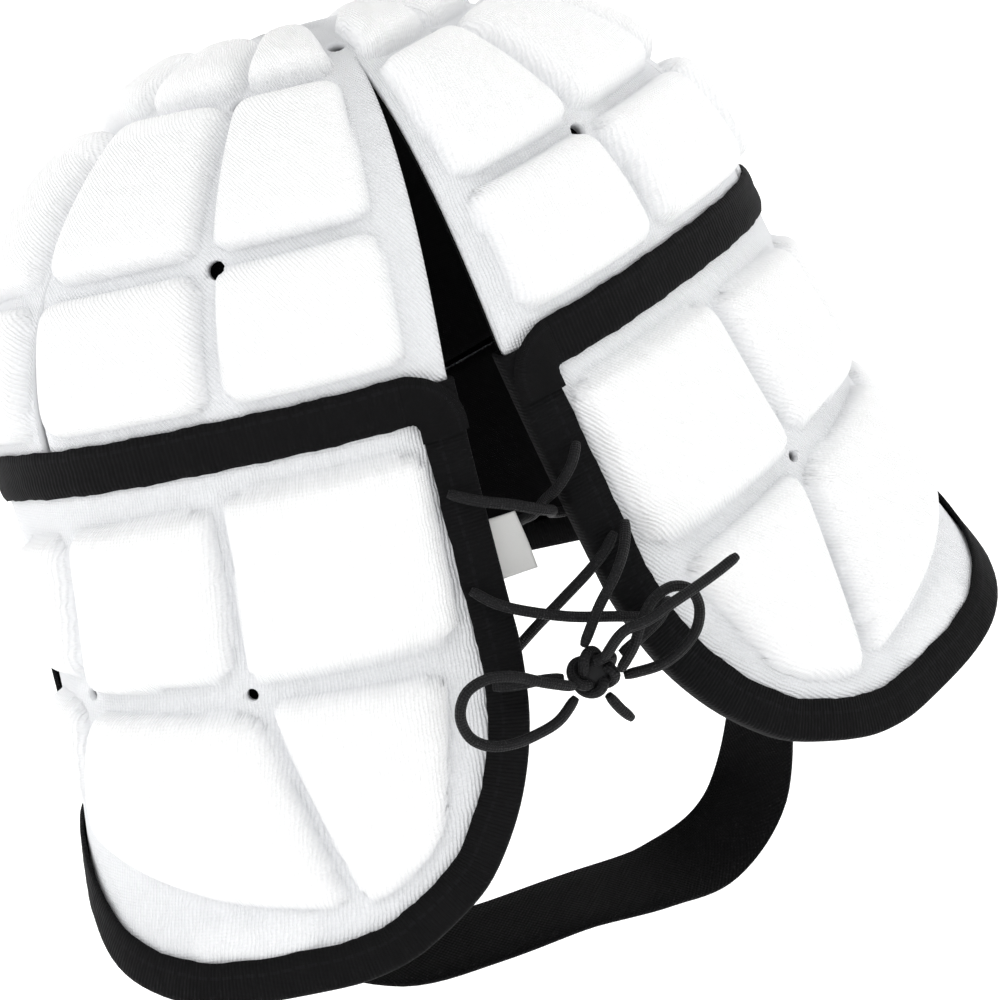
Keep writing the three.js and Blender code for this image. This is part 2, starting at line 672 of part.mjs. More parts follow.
// Size tag: a bare folded slip sewn behind the left binding
const tagOutline = flatOutline([[0, 0], [1, 0], [1, 1], [0, 1]]);
const tagInset = totalWall + innerLegGap + tapeThickness + layerGap + tagThickness;
const tagBody = loft(
  tagEdges.map(({ drop, free }) => {
    const sewn = offsetPoint(tagTurn, -drop, -tagInset);
    const thick = new THREE.Vector3(0, tagThickness, 0);
    return placed(tagOutline, sewn, new THREE.Vector3(...free).sub(sewn), thick);
  }),
  tagOutline,
);

// Chin strap: a flat band from the lining of one cheek to the other, lapped under the jaw
function cheekStrap(turn) {
  const foot = 89;
  const depths = [
    { above: strapTuck, inwards: 7.4 },
    { above: 14, inwards: 8.6 },
    { above: 6, inwards: 9.9 },
    { above: -3, inwards: 10.2 },
  ];
  const { round } = capFrame(turn, -foot);
  if (turn > 180) round.negate();
  return depths.map(({ above, inwards }) => ({ at: offsetPoint(turn, above - foot, -inwards), width: round }));
}

const strapStations = [
  ...cheekStrap(strapAround),
  ...strapPoints.map(({ at, width }) => ({ at: new THREE.Vector3(...at), width: new THREE.Vector3(...width) })),
  ...cheekStrap(360 - strapAround).toReversed(),
];
const strapCurve = new THREE.CatmullRomCurve3(strapStations.map(({ at }) => at), false, "centripetal");
const strapOutline = flatOutline([
  [-strapWidth / 2, -strapThickness / 2],
  [strapWidth / 2, -strapThickness / 2],
  [strapWidth / 2, strapThickness / 2],
  [-strapWidth / 2, strapThickness / 2],
]);

function strapBand(from, to, lift) {
  const last = strapStations.length - 1;
  const sections = evenly(from, to, 1).map((step) => {
    const share = step / strapSteps;
    const place = share * last;
    const index = Math.min(Math.floor(place), last - 1);
    const wide = strapStations[index].width.clone().lerp(strapStations[index + 1].width, place - index);
    const along = strapCurve.getTangent(share);
    const across = wide.addScaledVector(along, -wide.dot(along)).normalize();
    const face = along.clone().cross(across);
    return placed(strapOutline, strapCurve.getPoint(share).addScaledVector(face, lift(step)), across, face);
  });
  return loft(sections, strapOutline);
}

const lapLift = (strapThickness + layerGap) / 2;
const { from: lapFrom, to: lapTo } = strapLapSteps;
const strapLeft = strapBand(0, lapTo, (step) => lapLift * smoothstep(step, lapFrom - 3, lapFrom - 1));
const strapRight = strapBand(lapFrom, strapSteps, (step) => -lapLift * (1 - smoothstep(step, lapTo + 1, lapTo + 3)));

// Lace
const vectors = (points) => points.map((point) => new THREE.Vector3(...point));

// An end that reaches the knot stops just off its surface
function seated(end) {
  const { width, height, depth } = knotSize;
  const away = end.clone().sub(knotCentre);
  const reach = new THREE.Vector3(away.x / width, away.y / depth, away.z / height).length() * 2;
  if (away.length() > knotReach) return end;
  return knotCentre.clone().addScaledVector(away, 1 / reach + (3 * layerGap) / away.length());
}

function laceStrand(points) {
  const route = vectors(points);
  route[0] = seated(route[0]);
  route.push(seated(route.pop()));
  const extrudePath = new THREE.CatmullRomCurve3(route, false, "centripetal");
  const steps = Math.max(Math.round(extrudePath.getLength() / laceStep), 3);
  const round = new THREE.Shape(ellipse(laceDiameter / 2, laceDiameter / 2, laceSides));
  return solidFrom(pointsOf(new THREE.ExtrudeGeometry(round, { steps, extrudePath })));
}

function knotBody() {
  const { width, height, depth } = knotSize;
  const ball = new THREE.SphereGeometry(0.5, 10, 6).scale(width, depth, height);
  return solidFrom(pointsOf(ball.translate(knotCentre.x, knotCentre.y, knotCentre.z)));
}

// Materials
const fabric = (color, roughness) => () => new THREE.MeshStandardMaterial({ color, roughness, metalness: 0 });
const paddedKnit = fabric("#eeeeec", 0.85);
const liningJersey = fabric("#0b0b0c", 0.95);
const stretchTape = fabric("#17171a", 0.8);
const tagSatin = fabric("#f4f4f2", 0.4);
const webbing = fabric("#101012", 0.75);
const braid = fabric("#141416", 0.6);

const cap = new THREE.Group();

function addPiece(name, geometry, material) {
  const piece = new THREE.Mesh(geometry, material());
  piece.name = name;
  cap.add(piece);
}

function addPair(name, geometry, material) {
  addPiece(`left_${name}`, geometry, material);
  addPiece(`right_${name}`, mirrored(geometry), material);
}

addPiece("crown_panel", crownPanel, paddedKnit);
addPiece("front_panel", frontPanel, paddedKnit);
addPair("side_panel", sidePanel, paddedKnit);
addPiece("crown_lining", crownLining, liningJersey);
addPiece("front_lining", frontLining, liningJersey);
addPair("side_lining", sideLining, liningJersey);
addPiece("seam_tape", seamTape, stretchTape);
addPair("front_seam_tape", frontSeamTape, stretchTape);
addPair("edge_binding", edgeBinding, stretchTape);
addPiece("front_edge_binding", frontBinding, stretchTape);
addPair("ear_binding", earBinding, stretchTape);
addPiece("size_tag", tagBody, tagSatin);
addPiece("chin_strap_left", strapLeft, webbing);
addPiece("chin_strap_right", strapRight, webbing);
Object.entries(laceRoutes).forEach(([name, points]) => addPiece(name, laceStrand(points), braid));
addPiece("lace_knot", knotBody(), braid);

export default cap;
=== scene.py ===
import math

import bmesh
import bpy
import numpy as np
from mathutils import Matrix, Vector


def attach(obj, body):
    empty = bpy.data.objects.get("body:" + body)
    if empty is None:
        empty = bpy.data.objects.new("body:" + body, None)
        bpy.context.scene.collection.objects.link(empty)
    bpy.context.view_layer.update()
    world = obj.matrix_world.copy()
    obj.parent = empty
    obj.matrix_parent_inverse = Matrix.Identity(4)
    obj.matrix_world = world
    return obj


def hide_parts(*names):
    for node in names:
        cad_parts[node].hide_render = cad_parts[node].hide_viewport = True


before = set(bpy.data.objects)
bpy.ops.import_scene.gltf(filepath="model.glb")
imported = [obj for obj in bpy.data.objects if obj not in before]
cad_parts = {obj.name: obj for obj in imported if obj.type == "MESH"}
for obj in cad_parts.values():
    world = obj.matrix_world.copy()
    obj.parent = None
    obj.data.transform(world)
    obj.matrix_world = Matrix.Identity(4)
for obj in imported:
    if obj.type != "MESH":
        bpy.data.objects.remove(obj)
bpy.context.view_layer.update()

mm = 0.001
body = "root"

# Camera and cords come first
cameraSettings = {
    "place": (104.9, 490.5, 20.4),  # mm
    "azimuth": 14.24,
    "elevation": 17.09,
    "roll": -19.02,
    "lens": 68.4,
    "sensor": 36.0,
}


def makeCamera(settings):
    azimuth, elevation, roll = (math.radians(settings[key]) for key in ("azimuth", "elevation", "roll"))
    back = Vector((
        math.sin(azimuth) * math.cos(elevation),
        math.cos(azimuth) * math.cos(elevation),
        math.sin(elevation),
    ))
    level = (-back).cross(Vector((0, 0, 1))).normalized()
    upright = level.cross(-back)
    right = level * math.cos(roll) + upright * math.sin(roll)
    up = upright * math.cos(roll) - level * math.sin(roll)
    data = bpy.data.cameras.new("camera")
    data.lens = settings["lens"]
    data.sensor_width = settings["sensor"]
    data.clip_end = 50
    camera = bpy.data.objects.new("camera", data)
    turn = Matrix((right, up, back)).transposed().to_4x4()
    camera.matrix_world = Matrix.Translation(Vector(settings["place"]) * mm) @ turn
    bpy.context.collection.objects.link(camera)
    bpy.context.scene.camera = camera


makeCamera(cameraSettings)
print("camera placed")


# Colour and node helpers
def linear(hexColour):
    channels = [int(hexColour[i:i + 2], 16) / 255 for i in (1, 3, 5)]
    return [c / 12.92 if c <= 0.04045 else ((c + 0.055) / 1.055) ** 2.4 for c in channels] + [1.0]


def addNode(tree, kind, inputs=(), output=0, **settings):
    node = tree.nodes.new(kind)
    for name, value in settings.items():
        setattr(node, name, value)
    for socket, value in inputs.items() if isinstance(inputs, dict) else enumerate(inputs):
        if isinstance(value, bpy.types.NodeSocket):
            tree.links.new(value, node.inputs[socket])
        else:
            node.inputs[socket].default_value = value
    return node.outputs[output]


def newMaterial(name, colour, roughness, **settings):
    material = bpy.data.materials.new(name)
    material.use_nodes = True
    tree = material.node_tree
    shader = tree.nodes["Principled BSDF"]
    shader.inputs["Base Color"].default_value = linear(colour)
    shader.inputs["Roughness"].default_value = roughness
    for socket, value in settings.items():
        shader.inputs[socket.replace("_", " ")].default_value = value
    return material, tree, shader


# Node kinds used often, and the sockets of a colour mix
maths = "ShaderNodeMath"
noise = "ShaderNodeTexNoise"
mixFirst, mixSecond, mixResult = 6, 7, 2


# Places on the cloth in mm, across and along
def clothPlaces(tree):
    cloth = addNode(tree, "ShaderNodeUVMap", uv_map="cloth")
    across = addNode(tree, "ShaderNodeSeparateXYZ", (cloth,))
    return cloth, across, across.node.outputs["Y"]


# Ripple from -1 to 1 that repeats after a pitch in mm
def rippleOver(tree, place, pitch):
    turns = addNode(tree, maths, (place, math.tau / pitch), operation="MULTIPLY")
    return addNode(tree, maths, (turns,), operation="SINE")


# White rib knit laid over moulded foam: fine raised ribs, a matt napped surface, painted shade in the grooves
# between pads and between ribs
knitSettings = {
    "white": "#fbfbfb",
    "grooveShadeGrey": "#d4d6da",
    "ribPitch": 0.82,  # mm
    "stitchPitch": 0.7,
    "ribDepth": 0.13,
    "stitchShare": 0.35,
    "wander": 1.6,
    "nap": 0.18,
    "pucker": 0.7,
    "puckerSize": 9.0,
    "grooveShade": 0.55,
    "ribShade": 0.07,
}


def ribKnit(settings):
    material, tree, shader = newMaterial("white_rib_knit", settings["white"], 0.86, Sheen_Weight=0.25,
                                         Sheen_Roughness=0.5, Specular_IOR_Level=0.25)
    shader.inputs["Sheen Tint"].default_value = linear("#ffffff")
    cloth, across, along = clothPlaces(tree)
    sway = addNode(tree, noise, {"Vector": cloth, "Scale": 0.16, "Detail": 3.0})
    sway = addNode(tree, maths, (sway, 0.5), operation="SUBTRACT")
    sway = addNode(tree, maths, (sway, settings["wander"]), operation="MULTIPLY")
    across = addNode(tree, maths, (across, sway), operation="ADD")
    ribs = rippleOver(tree, across, settings["ribPitch"])
    purl = rippleOver(tree, along, settings["stitchPitch"])
    yarn = addNode(tree, maths, (purl, settings["stitchShare"], ribs), operation="MULTIPLY_ADD")
    nap = addNode(tree, noise, {"Vector": cloth, "Scale": 2.2, "Detail": 4.0})
    nap = addNode(tree, maths, (nap, settings["nap"]), operation="MULTIPLY")
    puckers = addNode(tree, noise, {"Vector": cloth, "Scale": 1 / settings["puckerSize"], "Detail": 2.0})
    relief = addNode(tree, maths, (yarn, settings["ribDepth"], nap), operation="MULTIPLY_ADD")
    relief = addNode(tree, maths, (puckers, settings["pucker"], relief), operation="MULTIPLY_ADD")
    bump = addNode(tree, "ShaderNodeBump", {"Height": relief, "Strength": 0.75, "Distance": mm})
    tree.links.new(bump, shader.inputs["Normal"])
    # Painted shade: the white is greyed towards the groove shade grey where the cloth lies low between the
    # pads
    height = addNode(tree, "ShaderNodeAttribute", output="Fac", attribute_name="padHeight")
    valley = addNode(tree, maths, (1.0, height), operation="SUBTRACT")
    valley = addNode(tree, maths, (valley, 2.0), operation="POWER")
    # Painted shade between the ribs, a little darker away from the yarn crests
    between = addNode(tree, maths, (1.0, yarn), operation="SUBTRACT")
    between = addNode(tree, maths, (between, settings["ribShade"]), operation="MULTIPLY")
    shade = addNode(tree, maths, (valley, settings["grooveShade"], between), operation="MULTIPLY_ADD")
    ends = {0: shade, mixFirst: linear(settings["white"]), mixSecond: linear(settings["grooveShadeGrey"])}
    tone = addNode(tree, "ShaderNodeMix", ends, mixResult, data_type="RGBA")
    tree.links.new(tone, shader.inputs["Base Color"])
    return material


# Black woven stretch tape: narrow cross ribs, a matt face and a line of sewing, with a painted highlight on
# the rib crests and paler stitches
tapeSettings = {
    "black": "#070708",
    "highlightAndStitchBlack": "#1a1a1d",
    "ribPitch": 0.9,  # mm
    "ribDepth": 0.08,
    "stitchAt": 7.2,
    "stitchPitch": 3.0,
    "stitchHalf": 0.35,
    "stitchShare": 0.72,
    "stitchDepth": 0.25,
    "wrinkle": 0.8,
}


def stretchTape(settings):
    material, tree, shader = newMaterial("black_stretch_tape", settings["black"], 0.85, Sheen_Weight=0.02,
                                         Sheen_Roughness=0.45, Specular_IOR_Level=0.14)
    shader.inputs["Sheen Tint"].default_value = linear("#8a8a92")
    cloth, across, along = clothPlaces(tree)
    ribs = rippleOver(tree, across, settings["ribPitch"])
    away = addNode(tree, maths, (along, settings["stitchAt"]), operation="SUBTRACT")
    away = addNode(tree, maths, (away,), operation="ABSOLUTE")
    line = addNode(tree, maths, (away, settings["stitchHalf"]), operation="LESS_THAN")
    run = addNode(tree, maths, (across, settings["stitchPitch"]), operation="DIVIDE")
    run = addNode(tree, maths, (run,), operation="FRACT")
    dash = addNode(tree, maths, (run, settings["stitchShare"]), operation="LESS_THAN")
    dash = addNode(tree, maths, (line, dash), operation="MULTIPLY")
    wrinkle = addNode(tree, noise, {"Vector": cloth, "Scale": 0.3, "Detail": 3.0})
    sewn = addNode(tree, maths, (dash, settings["stitchDepth"]), operation="MULTIPLY")
    relief = addNode(tree, maths, (ribs, settings["ribDepth"], sewn), operation="MULTIPLY_ADD")
    relief = addNode(tree, maths, (wrinkle, settings["wrinkle"], relief), operation="MULTIPLY_ADD")
    bump = addNode(tree, "ShaderNodeBump", {"Height": relief, "Strength": 0.8, "Distance": mm})
    tree.links.new(bump, shader.inputs["Normal"])
    # Painted light: rib crests are lightened and rib hollows darkened towards the paler black, and the
    # stitches are drawn paler
    ribShade = addNode(tree, maths, (ribs, 0.06), operation="MULTIPLY")
    shade = addNode(tree, maths, (dash, 0.35, ribShade), operation="MULTIPLY_ADD")
    ends = {0: shade, mixFirst: linear(settings["black"]), mixSecond: linear(settings["highlightAndStitchBlack"])}
    tone = addNode(tree, "ShaderNodeMix", ends, mixResult, data_type="RGBA")
    tree.links.new(tone, shader.inputs["Base Color"])
    return material


# Plain woven or knit cloth: crossing threads as shallow relief, with a soft nap over them
def wovenCloth(name, colour, roughness, pitch, depth, sheen):
    material, tree, shader = newMaterial(name, colour, roughness, Sheen_Weight=sheen, Sheen_Roughness=0.5,
                                         Specular_IOR_Level=0.12)
    cloth, across, along = clothPlaces(tree)
    threads = [rippleOver(tree, place, pitch) for place in (across, along)]
    weave = addNode(tree, maths, threads, operation="MULTIPLY")
    nap = addNode(tree, noise, {"Vector": cloth, "Scale": 1.1, "Detail": 4.0})
    nap = addNode(tree, maths, (nap, depth * 1.5), operation="MULTIPLY")
    relief = addNode(tree, maths, (weave, depth, nap), operation="MULTIPLY_ADD")
    bump = addNode(tree, "ShaderNodeBump", {"Height": relief, "Strength": 0.7, "Distance": mm})
    tree.links.new(bump, shader.inputs["Normal"])
    return material


# Round braid: strands crossing both ways round the cord, with a painted highlight on their crowns and painted
# shade between them
braidSettings = {"pitch": 1.3, "deep": "#040405", "crown": "#121215"}


def roundBraid(settings):
    material, tree, shader = newMaterial("black_elastic_braid", "#08080a", 0.6, Sheen_Weight=0.02,
                                         Specular_IOR_Level=0.22)
    _, across, along = clothPlaces(tree)
    crossed = []
    for operation in ("ADD", "SUBTRACT"):
        slant = addNode(tree, maths, (across, along), operation=operation)
        crossed.append(rippleOver(tree, slant, settings["pitch"]))
    strands = addNode(tree, maths, crossed, operation="MULTIPLY")
    bump = addNode(tree, "ShaderNodeBump", {"Height": strands, "Strength": 0.6, "Distance": 0.25 * mm})
    tree.links.new(bump, shader.inputs["Normal"])
    # Painted highlight on the strand crowns and painted shade in the hollows between strands
    shade = addNode(tree, maths, (strands, 0.5, 0.35), operation="MULTIPLY_ADD")
    ends = {0: shade, mixFirst: linear(settings["deep"]), mixSecond: linear(settings["crown"])}
    tone = addNode(tree, "ShaderNodeMix", ends, mixResult, data_type="RGBA")
    tree.links.new(tone, shader.inputs["Base Color"])
    return material


paddedKnit = ribKnit(knitSettings)
edgeTape = stretchTape(tapeSettings)
braid = roundBraid(braidSettings)
# Lining jersey drinks the light, strap webbing shows its weave, tag satin is smooth and a little glossy
jersey = wovenCloth("black_lining_jersey", "#050506", 0.95, 0.9, 0.1, 0.02)
webbing = wovenCloth("black_strap_webbing", "#070708", 0.85, 1.4, 0.2, 0.02)
satin = wovenCloth("white_tag_satin", "#f2f2f0", 0.42, 0.5, 0.03, 0.1)
print("materials made")

# Form of the cap, mm and degrees, as in the solids
form = {
    "halfWidth": 95.5, "halfDepth": 96, "crownHeight": 77, "sideFullness": 1.08, "backFullness": 0.305,
    "bulge": 0.07, "bulgeFrom": 25, "bulgeTo": 100, "seamDrop": 3.5, "lobeDrop": 126, "cheekDrop": 84,
    "browDrop": 62, "frontDroop": 42, "splay": 5.8, "flare": 0.19, "flareGrowth": 0.22, "kick": 0.18,
    "sideTuck": 0.04, "flareFull": 39, "flareNone": 98, "droopStart": 60, "ridgeRounding": 12,
    "slitLatitude": 62.8, "slitLean": 3, "wall": 4.3, "foam": 3.0, "relief": 7.0,
}
slitTop = form["crownHeight"] * math.sin(math.radians(form["slitLatitude"]))


def smoothstep(value, low, high):
    share = np.clip((value - low) / (high - low), 0, 1)
    return share * share * (3 - 2 * share)


def capPoint(turn, level):
    turn, level = np.broadcast_arrays(np.asarray(turn, float), np.asarray(level, float))
    side = np.where(turn <= 180, 1.0, -1.0)
    around = np.where(turn <= 180, turn, 360 - turn)
    angle = np.radians(around)
    latitude = np.radians(np.maximum(level, 0))
    drop = np.maximum(-level, 0)
    share = drop / form["lobeDrop"]
    flare = 1 - smoothstep(around, form["flareFull"], form["flareNone"])
    low = np.maximum(np.cos(latitude), 0)
    spread = np.clip((around - form["bulgeFrom"]) / (form["bulgeTo"] - form["bulgeFrom"]), 0, 1)
    bulge = 1 + form["bulge"] * np.sin(math.pi * spread) ** 2
    widening = flare * (form["flare"] * share + form["flareGrowth"] * share ** 2)
    widening -= (1 - flare) * form["sideTuck"] * share
    x = form["halfWidth"] * bulge * low ** form["sideFullness"] * (1 + widening) * np.sin(angle)
    kick = 1 + flare * form["kick"] * share ** 2
    y = form["halfDepth"] * bulge * low ** form["backFullness"] * kick * np.cos(angle)
    droop = form["frontDroop"] * smoothstep(around, form["droopStart"], 180) * np.cos(latitude)
    z = form["crownHeight"] * np.sin(latitude) - drop - droop
    lean = np.radians(form["splay"]) * np.clip((y + form["halfDepth"]) / (2 * form["halfDepth"]), 0, 1.2)
    below = np.maximum(slitTop - z, 0)
    ridge = form["ridgeRounding"]
    edge = np.where(y > 0, 1.0, x / np.hypot(x, ridge))
    lift = (np.hypot(x, ridge) - ridge) * np.sin(lean)
    outX = side * (x * np.cos(lean) + edge * below * np.sin(lean))
    outZ = slitTop - (slitTop - z) * np.cos(lean) + lift + form["wall"] - form["crownHeight"]
    return np.stack([outX, y, outZ], axis=-1)


def capNormal(turn, level):
    step = 0.05
    level = np.minimum(level, 90 - 2 * step)
    here = capPoint(turn, level)
    across = np.cross(capPoint(turn, level + step) - here, capPoint(turn + step, level) - here)
    return across / np.linalg.norm(across, axis=-1, keepdims=True)


def offsetPoint(turn, level, distance):
    return capPoint(turn, level) + capNormal(turn, level) * np.asarray(distance)[..., None]


# Length along a meridian from level 0 up to each latitude
meridianLatitudes = 90 - 90 * np.linspace(1, 0, 241) ** 3
meridianPoints = capPoint(90.0, meridianLatitudes)
meridianArc = np.concatenate([[0], np.cumsum(np.linalg.norm(np.diff(meridianPoints, axis=0), axis=1))])


def arcOf(level):
    return np.where(level > 0, np.interp(level, meridianLatitudes, meridianArc), level)


def mmPerDegree(level):
    low = np.maximum(np.cos(np.radians(np.clip(level, 0, 89))), 0)
    return math.radians(0.5) * (form["halfWidth"] * low ** form["sideFullness"]
                                + form["halfDepth"] * low ** form["backFullness"])


# Depth inside a pad, mm, with its corners rounded. Corners are (around, level).
def padDepth(around, level, corners, rounding):
    corners = np.array(corners, float)
    middle = corners[:, 0].mean()
    x = (around - middle) * mmPerDegree(level)
    y = arcOf(level)
    cornerX = (corners[:, 0] - middle) * mmPerDegree(corners[:, 1])
    cornerY = arcOf(corners[:, 1])
    area = np.sum(cornerX * np.roll(cornerY, -1) - cornerY * np.roll(cornerX, -1))
    total = np.zeros_like(x)
    for i in range(len(corners)):
        k = (i + 1) % len(corners)
        edgeX, edgeY = cornerX[k] - cornerX[i], cornerY[k] - cornerY[i]
        length = math.hypot(edgeX, edgeY)
        inside = (edgeX * (y - cornerY[i]) - edgeY * (x - cornerX[i])) / length * (1 if area > 0 else -1)
        total += np.exp(np.clip(-inside / rounding, -60, 60))
    return -rounding * np.log(total)


padShape = {"shoulder": 7.0, "rounding": 1.9, "doming": 1.0, "roundness": 2.3, "fadeFrom": 86, "fadeTo": 88.5}


def padHeights(around, level, pads):
    height = np.zeros_like(around)
    for corners, relief in pads:
        depth = padDepth(around, level, corners, padShape["rounding"]) + padShape["rounding"] * 0.6
        rise = np.clip(depth / padShape["shoulder"], 0, 1)
        swell = (1 - (1 - rise) ** padShape["roundness"]) ** (1 / padShape["roundness"])
        dome = padShape["doming"] * np.clip(depth / 20, 0, 1)
        height = np.maximum(height, (relief - padShape["doming"]) * swell + dome * (relief > 4))
    return height


crownTable = {
    "columns": [
        ((5.5, 5.5, 9), (28.5, 28, 28)), ((32.5, 32, 33), (55, 56, 56)), ((60, 61, 61), (84, 85, 86)),
        ((88, 89, 92), (112, 112, 114)), ((116, 116, 119), (144, 143, 145)), ((148, 147, 151),
        (175, 174, 172)),
    ],
    "levels": (0, form["slitLatitude"], 80),
    "rows": [(4.5, 25), (29.5, 56), (form["slitLatitude"] - 2, 75)],
}


def levelled(values, latitude):
    return np.interp(latitude, crownTable["levels"], values)


def crownPads():
    pads = []
    for low, high in crownTable["rows"]:
        for start, end in crownTable["columns"]:
            corners = [(levelled(start, low), low), (levelled(end, low), low),
                       (levelled(end, high), high), (levelled(start, high), high)]
            pads.append((corners, form["relief"]))
    return pads


sidePads = [
    ([(6.7, -16), (32, -16), (32, -56), (6.7, -56)], 7),
    ([(35, -18), (55, -18), (55, -54), (35, -54)], 7),
    ([(58.5, -19), (69, -20), (69, -48), (58.5, -51)], 6.5),
    ([(9.4, -66), (30.2, -63), (27.4, -82), (21.3, -110), (13.4, -101)], 7),
    ([(32.6, -65), (55, -60), (57.5, -74), (56.5, -87), (38, -104), (24.4, -109)], 7),
    ([(59, -59), (68.5, -56.5), (68, -72), (59.5, -83)], 6),
    ([(27, -111.5), (41.5, -108.5), (41.5, -115.5), (28, -118)], 2.2),
    ([(98, -18), (108, -18), (108, -43), (98, -43)], 6),
    ([(98, -51), (108, -50), (107.5, -76), (98, -79)], 6),
]

# Side panel lattice: a column of (turn, drop) for each line, from the laced edge to the front seam
sideLines = [
    ((0, 0, 1.3, 4.9, 9.5), (0.13, 0.445, 0.51, 0.65, 0.79, 0.895)),
    ((6.7, 7.3, 9.6, 13.4, 14.8), (0.127, 0.45, 0.525, 0.67, 0.81, 0.95)),
    ((19, 19.6, 18.6, 17.4, 18.5), (0.127, 0.45, 0.515, 0.68, 0.85, 0.98)),
    ((32, 31.4, 26.9, 21.3, 23), (0.127, 0.445, 0.505, 0.69, 0.87, 0.997)),
    ((35.4, 34.2, 30.3, 24.6, 26.4), (0.14, 0.435, 0.515, 0.69, 0.87, 1)),
    ((45.5, 45, 42.9, 38, 39.1), (0.145, 0.42, 0.49, 0.66, 0.82, 0.995)),
    ((55, 54.6, 56, 56.5, 52), (0.15, 0.41, 0.475, 0.58, 0.69, 0.93)),
    ((58, 58, 58.8, 59.2, 58.2), (0.155, 0.4, 0.465, 0.56, 0.655, 0.87)),
    ((68, 68, 68, 67.5, 66), (0.155, 0.38, 0.45, 0.51, 0.58, 0.79)),
    ((73, 73, 73, 73, 72), (0.16, 0.37, 0.43, 0.49, 0.55, 0.765)),
    ((84, 84, 84, 84, 84), (0.16, 0.36, 0.42, 0.48, 0.55, 0.74)),
    ((95, 95, 95, 95, 95), (0.16, 0.36, 0.42, 0.48, 0.55, 0.715)),
    ((98, 98, 98, 98, 98), (0.14, 0.34, 0.4, 0.46, 0.55, 0.705)),
    ((108, 108, 108, 108, 107.5), (0.14, 0.34, 0.4, 0.46, 0.54, 0.68)),
    ((111.85, 111.85, 111.85, 111.85, 111.85), (0.14, 0.34, 0.4, 0.46, 0.54, 2 / 3)),
]
seamHalf = 1.2


def sideTables():
    turns = [[line[0][i] for line in sideLines] for i in (0, 0, 1, 1, 2, 3, 4)]
    drops = [[form["seamDrop"] + seamHalf] * len(sideLines)]
    drops += [[line[1][i] * form["lobeDrop"] for line in sideLines] for i in range(6)]
    return np.array(turns, float), -np.array(drops, float)


def splineWeights(place, count):
    index = np.clip(np.floor(place).astype(int), 0, count - 2)
    t = place - index
    weights = np.stack([
        -0.5 * t + t ** 2 - 0.5 * t ** 3,
        1 - 2.5 * t ** 2 + 1.5 * t ** 3,
        0.5 * t + 2 * t ** 2 - 1.5 * t ** 3,
        -0.5 * t ** 2 + 0.5 * t ** 3,
    ], axis=-1)
    slots = np.clip(index[..., None] + np.arange(-1, 3), 0, count - 1)
    return slots, weights


def onLattice(table, row, column):
    rowSlots, rowWeights = splineWeights(row, table.shape[0])
    columnSlots, columnWeights = splineWeights(column, table.shape[1])
    values = table[rowSlots[..., :, None], columnSlots[..., None, :]]
    return np.einsum("...ij,...i,...j->...", values, rowWeights, columnWeights)


# Cloth meshes: a grid whose points are then moved onto the cap
def clothGrid(name, rows, columns, place, flat, height=None):
    grid = bmesh.new()
    bmesh.ops.create_grid(grid, x_segments=columns, y_segments=rows, size=0.5, calc_uvs=False)
    mesh = bpy.data.meshes.new(name)
    grid.to_mesh(mesh)
    grid.free()
    points = np.empty(len(mesh.vertices) * 3)
    mesh.vertices.foreach_get("co", points)
    points = points.reshape(-1, 3)
    across, along = points[:, 0] + 0.5, points[:, 1] + 0.5
    mesh.vertices.foreach_set("co", (place(across, along) * mm).ravel())
    loops = np.empty(len(mesh.loops), int)
    mesh.loops.foreach_get("vertex_index", loops)
    layer = mesh.uv_layers.new(name="cloth")
    layer.data.foreach_set("uv", flat(across, along)[loops].ravel())
    if height is not None:
        attribute = mesh.attributes.new("padHeight", "FLOAT", "POINT")
        attribute.data.foreach_set("value", height(across, along))
    piece = bpy.data.objects.new(name, mesh)
    bpy.context.collection.objects.link(piece)
    return piece


def applyModifiers(piece):
    bpy.context.view_layer.update()
    graph = bpy.context.evaluated_depsgraph_get()
    mesh = bpy.data.meshes.new_from_object(piece.evaluated_get(graph))
    piece.modifiers.clear()
    old = piece.data
    piece.data = mesh
    bpy.data.meshes.remove(old)


def mergeDoubles(piece, distance=0.02 * mm):
    work = bmesh.new()
    work.from_mesh(piece.data)
    bmesh.ops.remove_doubles(work, verts=work.verts, dist=distance)
    work.to_mesh(piece.data)
    work.free()


def outwards(piece):
    work = bmesh.new()
    work.from_mesh(piece.data)
    centre = sum((v.co for v in work.verts), Vector()) / len(work.verts)
    facing = sum(face.normal.dot(face.calc_center_median() - centre) * face.calc_area()
                 for face in work.faces)
    if facing < 0:
        bmesh.ops.reverse_faces(work, faces=work.faces)
    work.to_mesh(piece.data)
    work.free()


def thicken(piece, thickness):
    solid = piece.modifiers.new("wall", "SOLIDIFY")
    solid.thickness = thickness * mm
    solid.offset = -1
    applyModifiers(piece)


def finishPiece(piece, material, node):
    piece.data.materials.clear()
    piece.data.materials.append(material)
    piece.data.polygons.foreach_set("use_smooth", [True] * len(piece.data.polygons))
    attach(piece, body)
    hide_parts(node)


def spaced(lengths):
    total = np.concatenate([[0], np.cumsum(lengths)])
    return total / total[-1], np.arange(len(total))


# Ribs run their own way on each half of the crown and on each lobe
def ribbed(x, y, degrees):
    angle = np.radians(degrees)
    return np.stack([x * np.cos(angle) + y * np.sin(angle), -x * np.sin(angle) + y * np.cos(angle)], axis=-1)


crownGrid = {"rows": 120, "columns": 360, "lastRing": 86.5, "leftRib": -32, "rightRib": 4}
lining = {"inset": 3.6, "thickness": 0.6}
clothPerDegree = 1.77  # mm round the cap for each degree, near the seam
pole = 0.999  # share of the way up, past which the crown's rows close in one point


